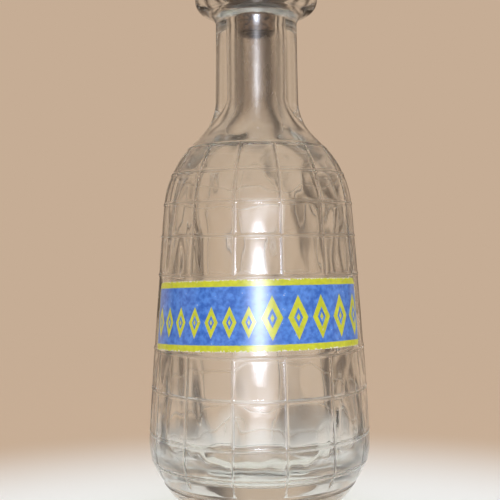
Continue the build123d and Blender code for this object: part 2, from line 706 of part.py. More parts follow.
with BuildPart() as thumb_lever:
    lever_root = (HINGE_X + LEVER_ROOT_OUT, HINGE_Z)
    lever_tip = (HINGE_X + LEVER_REACH, HINGE_Z + LEVER_RISE)
    root_back = (lever_root[0] - LEVER_T, HINGE_Z)
    tip_back = (lever_tip[0] - LEVER_T, lever_tip[1])
    with BuildSketch(Plane.XZ.offset(-LEVER_W / 2)):
        with BuildLine():
            SagittaArc(lever_root, lever_tip, -LEVER_BULGE)
            Line(lever_tip, tip_back)
            SagittaArc(tip_back, root_back, LEVER_BULGE)
            Line(root_back, lever_root)
        make_face()
    extrude(amount=LEVER_W)
    pad_plane = Plane(
        origin=(lever_tip[0] - LEVER_T / 2, 0, lever_tip[1]),
        z_dir=(-sin(radians(PAD_TILT)), 0, cos(radians(PAD_TILT))),
    )
    with BuildSketch(pad_plane):
        Ellipse(PAD_L / 2, PAD_W / 2)
    extrude(amount=LEVER_T)
    with BuildSketch(Plane.XZ.offset(-LEVER_W)):
        with Locations((HINGE_X, HINGE_Z)):
            Circle(KNUCKLE_R)
    extrude(amount=2 * LEVER_W, mode=Mode.SUBTRACT)
thumb_lever.part.label = "thumb_lever"
export_step(thumb_lever.part, "parts/thumb_lever.step")

with BuildPart() as lid_finial:
    with BuildSketch(Plane.XZ):
        with BuildLine():
            Polyline(
                (0, NUT_Z),
                (STUD_R, NUT_Z),
                (STUD_R, DOME_TOP_Z),
                (FINIAL_FOOT_R, DOME_TOP_Z),
                (FINIAL_FOOT_R, FINIAL_NECK_Z),
                (FINIAL_NECK_R, FINIAL_NECK_Z),
                (FINIAL_NECK_R, FINIAL_BALL_Z),
                (0, FINIAL_BALL_Z),
                close=True,
            )
        make_face()
    revolve(axis=Axis.Z)
    with Locations((0, 0, FINIAL_BALL_Z)):
        Sphere(FINIAL_BALL_R)
lid_finial.part.label = "lid_finial"
export_step(lid_finial.part, "parts/lid_finial.step")

with BuildPart() as finial_nut:
    with BuildSketch(Plane.XY.offset(NUT_Z)):
        RegularPolygon(NUT_ACROSS / 2, 6, major_radius=False)
        Circle(STUD_R, mode=Mode.SUBTRACT)
    extrude(amount=NUT_T)
finial_nut.part.label = "finial_nut"
export_step(finial_nut.part, "parts/finial_nut.step")
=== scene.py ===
"""Looks of a syrup carafe: quilted pressed glass, paper label, corked pourer with a hinged lid."""

from __future__ import annotations

import logging
import math
from dataclasses import dataclass
from enum import Enum
from functools import partial
from typing import Callable, Iterable, Mapping, Sequence

import bmesh
import bpy
from bpy.types import ID, Material, Node, NodeSocket, NodeTree, Object
from mathutils import Matrix, Vector, noise

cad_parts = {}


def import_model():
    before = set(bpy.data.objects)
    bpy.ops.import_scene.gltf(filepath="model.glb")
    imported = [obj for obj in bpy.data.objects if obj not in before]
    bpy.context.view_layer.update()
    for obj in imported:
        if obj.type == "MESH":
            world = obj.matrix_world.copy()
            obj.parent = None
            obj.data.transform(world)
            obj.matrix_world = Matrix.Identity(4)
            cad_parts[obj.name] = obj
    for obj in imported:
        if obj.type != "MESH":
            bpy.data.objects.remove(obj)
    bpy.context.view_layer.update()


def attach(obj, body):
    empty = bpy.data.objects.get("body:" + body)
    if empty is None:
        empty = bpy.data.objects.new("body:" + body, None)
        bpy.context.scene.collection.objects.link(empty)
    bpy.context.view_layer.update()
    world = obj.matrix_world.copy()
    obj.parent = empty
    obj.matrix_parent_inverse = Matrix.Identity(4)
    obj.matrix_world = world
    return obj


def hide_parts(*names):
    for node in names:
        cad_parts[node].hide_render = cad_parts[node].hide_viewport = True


LOG = logging.getLogger("carafe")
MM = 0.001  # Blender works in metres, the sizes here are millimetres
TURN = 2 * math.pi
TINY = 1e-6
Point = tuple[float, float]
Point3 = tuple[float, float, float]
Colour = tuple[float, float, float, float]
Fade = tuple[float, float, float, float]  # from, over how much it rises, to, over how much it falls
Leg = tuple[Point, float, int]  # an arc's end, its bulge and its number of pieces
ATTRIBUTE = "ShaderNodeAttribute"
BUMP = "ShaderNodeBump"
COORDINATES = "ShaderNodeTexCoord"
MIX = "ShaderNodeMix"  # as colours: input 0 is the share, 6 and 7 are the colours
NOISE = "ShaderNodeTexNoise"
RANGE = "ShaderNodeMapRange"  # its inputs: value, from, to, and what these two become
SPLIT = "ShaderNodeSeparateXYZ"
STORED = "GeometryNodeInputNamedAttribute"
VECTOR = "ShaderNodeVectorMath"


class Body(Enum):
    """The moving bodies that a piece can ride on."""

    BOTTLE = "bottle"
    STOPPER = "stopper"
    LID = "lid"


class Slot(Enum):
    """The record's material slots."""

    GLASS = "glass"
    PAPER = "label_paper"
    CORK = "cork"
    METAL = "plated_metal"
    RUBBER = "gasket_rubber"


class Sum(Enum):
    """The sums that a Math node is used for."""

    PLUS = "ADD"
    MINUS = "SUBTRACT"
    TIMES = "MULTIPLY"
    OVER = "DIVIDE"
    POWER = "POWER"
    ROOT = "SQRT"
    SIZE = "ABSOLUTE"
    ROUND = "ROUND"
    FLOOR = "FLOOR"
    LEAST = "MINIMUM"
    MOST = "MAXIMUM"
    ABOVE = "GREATER_THAN"
    ANGLE = "ARCTAN2"


# ---------------------------------------------------------------- small helpers


def linear(hex_colour: str) -> Colour:
    """Turns an sRGB hex colour into linear RGBA.

    Args:
        hex_colour: six hex digits, such as "CBD22A".

    Returns:
        Red, green, blue and an alpha of 1.
    """
    channels = [int(hex_colour[i : i + 2], 16) / 255 for i in (0, 2, 4)]
    red, green, blue = (c / 12.92 if c <= 0.04045 else ((c + 0.055) / 1.055) ** 2.4 for c in channels)
    return (red, green, blue, 1.0)


def scale(size: float) -> float:
    """A pattern's scale from the size of its features in millimetres."""
    return 1 / (size * MM)


def add_node(
    tree: NodeTree,
    kind: str | Sum,
    *values: object,
    sockets: Mapping[int | str, object] | None = None,
    **settings: object,
) -> Node:
    """Adds a node with its settings, values and links.

    Args:
        tree: the node tree that gets the node.
        kind: the node's type name, or a sum, which means a Math node.
        *values: for its first inputs, in order, a value, an output, or a node whose first output is meant.
        sockets: the same for inputs by name or number.
        **settings: properties of the node itself.

    Returns:
        The new node.
    """
    if isinstance(kind, Sum):
        kind, settings["operation"] = "ShaderNodeMath", kind.value
    made = tree.nodes.new(kind)
    for name, value in settings.items():
        setattr(made, name, value)
    for key, value in {**dict(enumerate(values)), **(sockets or {})}.items():
        named = (s for s in made.inputs if s.name == key and s.enabled)
        socket = made.inputs[key] if isinstance(key, int) else next(named)
        if isinstance(value, Node):
            value = next(s for s in value.outputs if s.enabled)
        if isinstance(value, NodeSocket):
            tree.links.new(value, socket)
        else:
            socket.default_value = value
    return made


def arc(start: Point, end: Point, bulge: float, steps: int) -> list[Point]:
    """Points along a round arc, without its start.

    Args:
        start: where the arc starts.
        end: where it ends.
        bulge: how far its middle stands off the chord, to the right of the way from start to end.
        steps: how many pieces it has.

    Returns:
        The points after the start, the end among them.
    """
    (x0, y0), (x1, y1) = start, end
    chord = math.hypot(x1 - x0, y1 - y0)
    if abs(bulge) < TINY or steps < 2:
        return [(x0 + (x1 - x0) * i / steps, y0 + (y1 - y0) * i / steps) for i in range(1, steps + 1)]
    radius = (chord * chord / 4 + bulge * bulge) / (2 * abs(bulge))
    half = math.asin(min(1.0, chord / 2 / radius))
    along = ((x1 - x0) / chord, (y1 - y0) / chord)
    right = (along[1], -along[0])
    side = math.copysign(1.0, bulge)
    points = []
    for i in range(1, steps + 1):
        turn = -half + 2 * half * i / steps
        run = chord / 2 + radius * math.sin(turn)
        off = side * (radius * math.cos(turn) - (radius - abs(bulge)))
        points.append((x0 + along[0] * run + right[0] * off, y0 + along[1] * run + right[1] * off))
    return points


def path(start: Point, *legs: Leg) -> list[Point]:
    """Joins arcs end to end.

    Args:
        start: where the first arc starts.
        *legs: the end, the bulge and the number of pieces of each arc.

    Returns:
        All points, the start among them.
    """
    points = [start]
    for end, bulge, steps in legs:
        points += arc(points[-1], end, bulge, steps)
    return points


def oval(middle: Point, across: float, up: float, turns: Iterable[float]) -> list[Point]:
    """Points of an oval.

    Args:
        middle: its centre.
        across: half its width.
        up: half its height.
        turns: the angles of its points, in radians.

    Returns:
        The points, in the order of the angles.
    """
    return [(middle[0] + across * math.cos(turn), middle[1] + up * math.sin(turn)) for turn in turns]


def soften(points: Sequence[Point], radius: float, closed: bool = False, steps: int = 4) -> list[Point]:
    """Rounds the corners of an outline.

    Args:
        points: the outline's corners.
        radius: how far from a corner its rounding starts; less where an edge is short.
        closed: whether the last point joins the first.
        steps: how many pieces a rounding has.

    Returns:
        The outline with each corner replaced by a short curve.
    """
    longest = 0.45  # share of an edge that one rounding may take
    result: list[Point] = []
    for i, corner in enumerate(points):
        if not closed and i in (0, len(points) - 1):
            result.append(corner)
            continue
        here = Vector(corner)
        before = Vector(points[i - 1]) - here
        after = Vector(points[(i + 1) % len(points)]) - here
        reach = min(radius, before.length * longest, after.length * longest)
        first = here + before.normalized() * reach
        last = here + after.normalized() * reach
        for k in range(steps + 1):
            t = k / steps
            spot = first * (1 - t) ** 2 + here * 2 * t * (1 - t) + last * t * t
            result.append((spot.x, spot.y))
    return result


def angles(count: int) -> list[float]:
    """Evenly spaced angles round a full turn, in radians."""
    return [TURN * i / count for i in range(count)]


def sweep(start: float, step: float, count: int) -> list[float]:
    """Angles in radians from a start and a step in degrees."""
    return [math.radians(start + step * i) for i in range(count)]


def plateau(value: float, fade: Fade) -> float:
    """1 on a stretch of values, running out to 0 at both of its ends.

    Args:
        value: where on the way.
        fade: where it starts, over how much it rises, where it ends, and over how much it falls.

    Returns:
        A share from 0 to 1.
    """
    low, rise, high, fall = fade
    return max(0.0, min(1.0, (value - low) / rise, (high - value) / fall))


def new_object(name: str, data: ID) -> Object:
    """Makes an object and links it to the scene.

    Args:
        name: the object's name.
        data: its mesh, lamp or camera.

    Returns:
        The new object.
    """
    made = bpy.data.objects.new(name, data)
    bpy.context.scene.collection.objects.link(made)
    return made


def mesh_object(
    name: str,
    vertices: Iterable[Point3],
    faces: Iterable[Sequence[int]],
    sharp: float = 40.0,
    marks: Mapping[str, Sequence[float]] | None = None,
) -> Object:
    """Builds an object from vertices in millimetres and faces, closed and with its faces outwards.

    Args:
        name: the piece's name.
        vertices: positions in millimetres, in the frame of the whole object.
        faces: vertex numbers of each face.
        sharp: edges that turn more than this many degrees stay sharp.
        marks: attributes with one number for each vertex.

    Returns:
        The new object, at the origin.
    """
    mesh = bpy.data.meshes.new(name)
    mesh.from_pydata([tuple(c * MM for c in v) for v in vertices], [], [tuple(f) for f in faces])
    for mark, values in (marks or {}).items():
        mesh.attributes.new(mark, "FLOAT", "POINT").data.foreach_set("value", values)
    work = bmesh.new()
    work.from_mesh(mesh)
    bmesh.ops.remove_doubles(work, verts=work.verts, dist=1e-7)
    bmesh.ops.recalc_face_normals(work, faces=work.faces)
    work.to_mesh(mesh)
    work.free()
    mesh.shade_smooth()
    mesh.set_sharp_from_angle(angle=math.radians(sharp))
    return new_object(name, mesh)


def lathe(
    name: str,
    outline: Sequence[Point],
    columns: Sequence[float],
    closed: bool = False,
    centre: Point3 = (0.0, 0.0, 0.0),
    sideways: bool = False,
    sharp: float = 40.0,
    stretch: Callable[[float, float], float] | None = None,
    marks: Mapping[str, Sequence[float]] | None = None,
) -> Object:
    """Turns an outline round an axis.

    Args:
        name: the piece's name.
        outline: (radius, height) points; an open outline starts and ends on the axis.
        columns: the angles that carry a copy of the outline.
        closed: whether the outline is a loop that stays clear of the axis.
        centre: where the outline's zero height on the axis goes.
        sideways: whether the axis runs along Y, and not upright.
        sharp: edges that turn more than this many degrees stay sharp.
        stretch: gives a point's radius from the outline's radius and the angle.
        marks: attributes with one number for each vertex.

    Returns:
        The turned piece.
    """
    turn = Matrix.Rotation(math.pi / 2, 4, "X") if sideways else Matrix.Identity(4)
    vertices: list[Point3] = []
    rows: list[list[int]] = []
    for radius, height in outline:
        start = len(vertices)
        lone = radius < TINY
        for angle in columns[:1] if lone else columns:
            reach = stretch(radius, angle) if stretch else radius
            spot = turn @ Vector((reach * math.cos(angle), reach * math.sin(angle), height))
            vertices.append(tuple(spot + Vector(centre)))
        rows.append([start] * len(columns) if lone else list(range(start, start + len(columns))))
    pairs = list(zip(rows, rows[1:]))
    if closed:
        pairs.append((rows[-1], rows[0]))
    faces = []
    for low, high in pairs:
        for i in range(len(columns)):
            j = (i + 1) % len(columns)
            face = list(dict.fromkeys([low[i], low[j], high[j], high[i]]))
            if len(face) > 2:
                faces.append(face)
    return mesh_object(name, vertices, faces, sharp, marks)


def solid(name: str, first: Sequence[Point3], last: Sequence[Point3]) -> Object:
    """Joins two sections into a solid.

    Args:
        name: the piece's name.
        first: the corners of one end.
        last: the corners of the other end, as many and in the same order.

    Returns:
        The solid piece.
    """
    count = len(first)
    faces: list[Sequence[int]] = [list(range(count)), list(range(count, 2 * count))]
    faces += [[i, (i + 1) % count, count + (i + 1) % count, count + i] for i in range(count)]
    return mesh_object(name, [*first, *last], faces)


def prism(
    name: str, outline: Sequence[Point], low: float, high: float, bevel: float, standing: bool = False
) -> Object:
    """Gives an outline a thickness and rounds its edges.

    Args:
        name: the piece's name.
        outline: the corners of the outline, in order.
        low: where the thickness starts.
        high: where it ends.
        bevel: width of the rounding of all sharp edges.
        standing: whether the outline lies in X and Z and the thickness runs along Y, and not up.

    Returns:
        The solid piece.
    """
    ends = [[(x, depth, y) if standing else (x, y, depth) for x, y in outline] for depth in (low, high)]
    made = solid(name, *ends)
    rounding = made.modifiers.new("edges", "BEVEL")
    rounding.width = bevel * MM
    rounding.segments = 3
    rounding.limit_method = "ANGLE"
    rounding.angle_limit = math.radians(40)
    bake(made)
    return made


def bake(piece: Object) -> None:
    """Applies every modifier of a piece to its mesh.

    Args:
        piece: the object, which keeps its name.
    """
    bpy.context.view_layer.update()
    graph = bpy.context.evaluated_depsgraph_get()
    mesh = bpy.data.meshes.new_from_object(piece.evaluated_get(graph), depsgraph=graph)
    piece.modifiers.clear()
    old = piece.data
    piece.data = mesh
    bpy.data.meshes.remove(old)
    mesh.name = piece.name


def join(name: str, pieces: Sequence[Object]) -> Object:
    """Joins several objects into one mesh and deletes them.

    Args:
        name: the joined piece's name.
        pieces: the objects to join.

    Returns:
        The joined object.
    """
    work = bmesh.new()
    for piece in pieces:
        work.from_mesh(piece.data)
    mesh = bpy.data.meshes.new(name)
    work.to_mesh(mesh)
    work.free()
    for piece in pieces:
        bpy.data.meshes.remove(piece.data)
    return new_object(name, mesh)


def cut(piece: Object, tool: Object) -> None:
    """Cuts a tool out of a piece and deletes the tool.

    Args:
        piece: what is cut.
        tool: the solid that takes material away.
    """
    boolean = piece.modifiers.new("cut", "BOOLEAN")
    boolean.operation = "DIFFERENCE"
    boolean.solver = "EXACT"
    boolean.object = tool
    bake(piece)
    bpy.data.meshes.remove(tool.data)


def dress(piece: Object, material: Material, body: Body, slot: Slot, *nodes: str) -> Object:
    """Gives a finished piece its material and its body, and hides the CAD nodes that it stands for.

    Args:
        piece: the finished piece.
        material: its only material.
        body: what it moves with.
        slot: the record's material slot for the piece; not used.
        *nodes: the CAD nodes that it replaces.

    Returns:
        The same piece.
    """
    piece.data.materials.clear()
    piece.data.materials.append(material)
    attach(piece, body.value)
    if nodes:
        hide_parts(*nodes)
    LOG.info("%s: %d faces, on %s", piece.name, len(piece.data.polygons), body.value)
    return piece


# ---------------------------------------------------------------- finishes


@dataclass(frozen=True)
class Finish:
    """A finish of one of the carafe's materials."""

    name: str

    def material(self) -> Material:
        """Builds the Blender material.

        Returns:
            A material with one Principled shader, set up by look and output.
        """
        made = bpy.data.materials.new(self.name)
        made.use_nodes = True
        tree = made.node_tree
        tree.nodes.clear()
        shader = add_node(tree, "ShaderNodeBsdfPrincipled", sockets=self.look(tree))
        add_node(tree, "ShaderNodeOutputMaterial", sockets=self.output(tree, shader))
        return made

    def look(self, tree: NodeTree) -> dict[str, object]:
        """What the Principled shader gets.

        Args:
            tree: the material's nodes.

        Returns:
            A value, an output or a node for each socket that differs from the default.
        """
        raise NotImplementedError

    def output(self, tree: NodeTree, shader: Node) -> dict[str, object]:
        """What the material's output gets: the shader alone, unless a finish adds to it.

        Args:
            tree: the material's nodes.
            shader: the Principled shader.

        Returns:
            A node for each socket of the output.
        """
        return {"Surface": shader}


@dataclass(frozen=True)
class PressedGlass(Finish):
    """Soda-lime glass, pressed in a mould and fire-polished."""

    # To the eye: clear with a soft wet shine, grey-green in the thick foot, dull on rubbed ribs, and with a
    # streaky brown tint and rougher streaks down the bore.
    name: str = "pressed_soda_lime_glass"
    tint: str = "FDFDFB"
    passed: str = "FDFDFB"  # what a lamp's light keeps on its way through a wall
    depth_tint: tuple[float, float, float] = (0.795, 0.835, 0.825)
    absorption: float = 7.0  # per metre
    index: float = 1.52
    clean: float = 0.03  # roughness of the clean skin
    handled: float = 0.12  # roughness where it has been handled
    handled_size: float = 18.0  # mm, of the handled patches
    handled_range: Point = (0.45, 0.75)  # of the noise, between clean and handled
    scuffed: float = 0.35  # roughness of the ribs' crests, which are scuffed by the tray
    bore_brown: str = "A3968C"  # streaky brown tint in the bore
    bore_streak_rough: float = 0.42  # its roughness
    run_width: float = 3.5  # mm, of its runs
    run_rate: float = 0.16  # how much slower a run changes downwards than across
    run_range: Point = (0.3, 0.7)  # of the noise, between two runs and in one
    run_least: float = 0.35  # share of the brown tint between two runs
    ripple_size: float = 7.0  # mm, of the faint ripple that the mould leaves
    ripple: float = 0.045  # mm, its height
    film: float = 0.6  # share of a thin dried film, which spreads the shine of a lamp
    film_roughness: float = 0.33

    def look(self, tree: NodeTree) -> dict[str, object]:
        """Clear glass with handled patches, scuffed crests, a streaky brown, rougher bore and a faint ripple.

        Args:
            tree: the material's nodes.

        Returns:
            What the Principled shader gets, by socket.
        """
        node = partial(add_node, tree)
        place = node(COORDINATES).outputs["Object"]
        crest, bore = (node(ATTRIBUTE, attribute_name=mark).outputs["Fac"] for mark in ("crest", "bore"))
        smears = node(NOISE, place, sockets={"Scale": scale(self.handled_size), "Detail": 4.0})
        runs = node(VECTOR, place, (1.0, 1.0, self.run_rate), operation="MULTIPLY")
        streaks = node(NOISE, runs, sockets={"Scale": scale(self.run_width), "Detail": 3.0})
        # a streaky brown tint and more roughness down the bore
        bore_streaks = node(Sum.TIMES, node(RANGE, streaks, *self.run_range, self.run_least, 1.0), bore)
        colours = {0: bore_streaks, 6: linear(self.tint), 7: linear(self.bore_brown)}
        rough = node(RANGE, smears, *self.handled_range, self.clean, self.handled)
        for share, worn in ((crest, self.scuffed), (bore_streaks, self.bore_streak_rough)):
            rough = node(Sum.MOST, node(Sum.TIMES, share, worn), rough)
        ripple = node(NOISE, place, sockets={"Scale": scale(self.ripple_size), "Detail": 1.0})
        return {
            "Base Color": node(MIX, sockets=colours, data_type="RGBA"),
            "Roughness": rough,
            "IOR": self.index,
            "Transmission Weight": 1.0,
            "Coat Weight": self.film,
            "Coat Roughness": self.film_roughness,
            "Normal": node(BUMP, sockets={"Strength": 1.0, "Distance": self.ripple * MM, "Height": ripple}),
        }

    def output(self, tree: NodeTree, shader: Node) -> dict[str, object]:
        """Only sight bends: light goes straight through, and depth tints both.

        Args:
            tree: the material's nodes.
            shader: the Principled shader.

        Returns:
            What the material's output gets, by socket.
        """
        node = partial(add_node, tree)
        rays = node("ShaderNodeLightPath").outputs
        light = node(Sum.MOST, rays["Is Shadow Ray"], rays["Is Diffuse Ray"])
        through = node("ShaderNodeBsdfTransparent", linear(self.passed))
        depth = {"Color": (*self.depth_tint, 1.0), "Density": self.absorption}
        return {
            "Surface": node("ShaderNodeMixShader", light, shader, through),
            "Volume": node("ShaderNodeVolumeAbsorption", sockets=depth),
        }


@dataclass(frozen=True)
class CoatedPaper(Finish):
    """Label paper, printed flat in two inks and varnished."""

    # To the eye: strong colour that a lamp whitens, slightly mottled, with white fibres where its edges are
    # chipped.
    name: str = "varnished_label_paper"
    blue: str = "2E66C2"
    blue_pale: str = "5590E4"
    yellow: str = "D6DA2C"
    yellow_dark: str = "B9BC2A"
    fibre: str = "E9E6DA"
    height: float = 28.1  # mm, of the strip
    left: float = -54.6  # mm, where the strip starts
    right: float = 52.0  # mm, where it ends
    stripe: float = 2.5  # mm, of the yellow edges
    end_line: float = 0.9  # mm, of the yellow ends
    blur: float = 0.2  # mm, of a printed edge
    clear_end: float = 2.4  # mm without lozenges
    middle: float = 12.9  # mm above the lower edge
    small: tuple[float, float, float] = (7.7, 5.8, 12.6)  # mm: pitch, width and height of the left lozenges
    small_drop: float = 1.4  # mm, how much lower they sit
    large: tuple[float, float, float] = (10.6, 8.6, 17.6)  # mm: the same of the right ones
    frame_from: Point = (0.42, 0.48)  # of a lozenge's half size, from blue to the yellow frame
    frame_to: Point = (0.97, 1.03)  # of the same, from the frame to the blue beside it
    dot: Point = (0.16, 0.22)  # of the same, from the yellow dot to blue
    ragged: float = 0.15  # share of the fibres in the print's unevenness
    mottle: float = 2.2  # mm, of the cloudy ink
    blue_range: Point = (0.35, 0.65)  # of the cloud, between the two blues
    yellow_range: Point = (0.3, 0.8)  # of the cloud, between the two yellows
    fibre_size: float = 0.8  # mm
    fibre_pull: float = 1.7  # how much the fibres shape a chipped edge
    chip_fade: float = 0.55  # how fast wear fades with each millimetre from an edge
    chip_range: Point = (0.72, 0.82)  # of the fibres less that fade, from print to bare paper
    scuff_range: Point = (0.43, 0.47)  # of fibres times cloud, from print to bare paper
    inked_rough: Point = (0.24, 0.4)  # roughness of the ink, over the cloud
    bare_rough: float = 0.8  # roughness of bare paper
    varnish_rough: float = 0.22
    relief: float = 0.05  # mm, of ink and chips

    def look(self, tree: NodeTree) -> dict[str, object]:
        """Blue strip with yellow stripes along its edges and a row of yellow lozenges.

        Args:
            tree: the material's nodes.

        Returns:
            What the Principled shader gets, by socket.
        """
        node = partial(add_node, tree)
        marks = ("along", "up", "back")
        along, up, back = (node(ATTRIBUTE, attribute_name=mark).outputs["Fac"] for mark in marks)
        place = node(COORDINATES).outputs["Object"]
        cloud = node(NOISE, place, sockets={"Scale": scale(self.mottle), "Detail": 3.0})
        fine = node(NOISE, place, sockets={"Scale": scale(self.fibre_size), "Detail": 4.0})
        ragged = node(Sum.TIMES, node(Sum.MINUS, fine, 0.5), 0.5)

        to_side = node(Sum.LEAST, up, node(Sum.MINUS, self.height, up))
        to_end = node(Sum.LEAST, node(Sum.MINUS, along, self.left), node(Sum.MINUS, self.right, along))
        borders = [
            node(RANGE, node(Sum.PLUS, gap, ragged), width, width + self.blur, 1.0, 0.0)
            for gap, width in ((to_side, self.stripe), (to_end, self.end_line))
        ]
        rows = [
            self.lozenges(tree, (along, up, ragged), size, self.middle - drop)
            for size, drop in ((self.small, self.small_drop), (self.large, 0.0))
        ]
        right_half = node(Sum.ABOVE, along, 0.0)
        row = node(MIX, sockets={0: right_half, 2: rows[0], 3: rows[1]}, data_type="FLOAT")
        row = node(Sum.TIMES, row, node(RANGE, to_end, self.clear_end, self.clear_end + 0.1))
        printed = node(Sum.MOST, node(Sum.MOST, *borders), row)
        blues = {0: node(RANGE, cloud, *self.blue_range), 6: linear(self.blue), 7: linear(self.blue_pale)}
        yellow_share = node(RANGE, cloud, *self.yellow_range)
        yellows = {0: yellow_share, 6: linear(self.yellow), 7: linear(self.yellow_dark)}
        inks = [node(MIX, sockets=colours, data_type="RGBA") for colours in (blues, yellows)]
        inked = node(MIX, sockets={0: printed, 6: inks[0], 7: inks[1]}, data_type="RGBA")

        inwards = node(Sum.TIMES, node(Sum.LEAST, to_side, to_end), self.chip_fade)
        torn = node(Sum.MINUS, node(Sum.TIMES, fine, self.fibre_pull), inwards)
        chipped = node(RANGE, torn, *self.chip_range)
        scuffed = node(RANGE, node(Sum.TIMES, fine, cloud), *self.scuff_range)
        bare = node(Sum.MOST, node(Sum.MOST, chipped, back), scuffed)
        colours = {0: bare, 6: inked, 7: linear(self.fibre)}
        inked_rough = node(RANGE, cloud, 0.0, 1.0, *self.inked_rough)
        height = node(Sum.MINUS, node(Sum.TIMES, cloud, 0.4), bare)
        return {
            "Base Color": node(MIX, sockets=colours, data_type="RGBA"),
            "Roughness": node(Sum.MOST, inked_rough, node(Sum.TIMES, bare, self.bare_rough)),
            "Coat Weight": 1.0,
            "Coat Roughness": self.varnish_rough,
            "Normal": node(BUMP, sockets={"Strength": 0.6, "Distance": self.relief * MM, "Height": height}),
        }

    def lozenges(
        self,
        tree: NodeTree,
        place: tuple[object, object, object],
        size: tuple[float, float, float],
        middle: float,
    ) -> Node:
        """A row of lozenges, each a frame round a dot.

        Args:
            tree: the material's nodes.
            place: how far along and up the strip a point is, and how ragged the print is there.
            size: pitch, width and height of a lozenge.
            middle: how far up the row is.

        Returns:
            A node that gives 1 on the print and 0 beside it.
        """
        node = partial(add_node, tree)
        along, up, ragged = place
        pitch, width, height = size
        number = node(Sum.FLOOR, node(Sum.OVER, along, pitch))
        across = node(Sum.MINUS, along, node(Sum.TIMES, node(Sum.PLUS, number, 0.5), pitch))
        sideways = node(Sum.OVER, node(Sum.SIZE, across), width / 2)
        upwards = node(Sum.OVER, node(Sum.SIZE, node(Sum.MINUS, up, middle)), height / 2)
        uneven = node(Sum.TIMES, ragged, self.ragged)
        reach = node(Sum.PLUS, node(Sum.PLUS, sideways, upwards), uneven)
        outside = node(RANGE, reach, *self.frame_to, 1.0, 0.0)
        frame = node(Sum.TIMES, node(RANGE, reach, *self.frame_from), outside)
        return node(Sum.MOST, frame, node(RANGE, reach, *self.dot, 1.0, 0.0))


@dataclass(frozen=True)
class NickelPlate(Finish):
    """Brass sheet, nickel-plated and buffed."""

    # To the eye: a warm grey mirror, cloudy where it is seldom wiped, with fine lines round it, and painted
    # shade, a dark brown, on its downward faces in the mouth.
    name: str = "buffed_nickel_plate"
    bright: str = "DAD8D3"
    dull: str = "A89F93"
    # painted shade: the dark brown that downward faces below the rim get, in place of shade in the mouth
    painted_shade_brown: str = "57493D"
    rim: float = 229.6  # mm, the height below which downward faces get the painted shade
    rim_fade: float = 0.6  # mm, over which the painted shade starts
    under: Point = (0.35, 0.2)  # upward part of the direction of a face, from clean to painted shade
    painted_shade_range: Point = (0.25, 0.5)  # of the cloud, between a thinner and the full painted shade
    painted_shade_least: float = 0.75
    tarnish_size: float = 9.0  # mm
    tarnish_range: Point = (0.42, 0.75)  # of the cloud, between bright and dull
    scratch: float = 0.35  # mm between buffing marks, coarser than real ones so that they show
    scratch_rate: float = 0.12  # how much slower a mark changes along its way round
    scratch_depth: float = 0.012  # mm
    smooth: float = 0.16  # roughness where it is bright
    rough: float = 0.34  # roughness where it is dull

    def look(self, tree: NodeTree) -> dict[str, object]:
        """Metal with cloudy tarnish, fine buffing marks and painted shade on downward faces in the mouth.

        Args:
            tree: the material's nodes.

        Returns:
            What the Principled shader gets, by socket.
        """
        node = partial(add_node, tree)
        coordinates = node(COORDINATES).outputs
        place = coordinates["Object"]
        patches = {"Scale": scale(self.tarnish_size), "Detail": 6.0, "Roughness": 0.6}
        cloud = node(NOISE, place, sockets=patches)
        tarnish = node(RANGE, cloud, *self.tarnish_range)
        worn = node(MIX, sockets={0: tarnish, 6: linear(self.bright), 7: linear(self.dull)}, data_type="RGBA")
        height, facing = (node(SPLIT, source).outputs["Z"] for source in (place, coordinates["Normal"]))
        # painted shade: faces below the rim that point downwards turn dark brown
        below = node(RANGE, height, self.rim * MM, (self.rim - self.rim_fade) * MM)
        painted_shade = node(Sum.TIMES, below, node(RANGE, facing, *self.under))
        painted_shade = node(Sum.TIMES, painted_shade, node(RANGE, cloud, *self.painted_shade_range, self.painted_shade_least, 1.0))
        colours = {0: painted_shade, 6: worn, 7: linear(self.painted_shade_brown)}
        rates = (self.scratch_rate, self.scratch_rate, 1.0)
        drawn_out = node("ShaderNodeMapping", sockets={"Vector": place, "Scale": rates})
        marks = node(NOISE, drawn_out, sockets={"Scale": scale(self.scratch), "Detail": 3.0})
        relief = {"Strength": 0.35, "Distance": self.scratch_depth * MM, "Height": marks}
        return {
            "Base Color": node(MIX, sockets=colours, data_type="RGBA"),
            "Metallic": 1.0,
            "Roughness": node(RANGE, tarnish, 0.0, 1.0, self.smooth, self.rough),
            "Normal": node(BUMP, sockets=relief),
        }


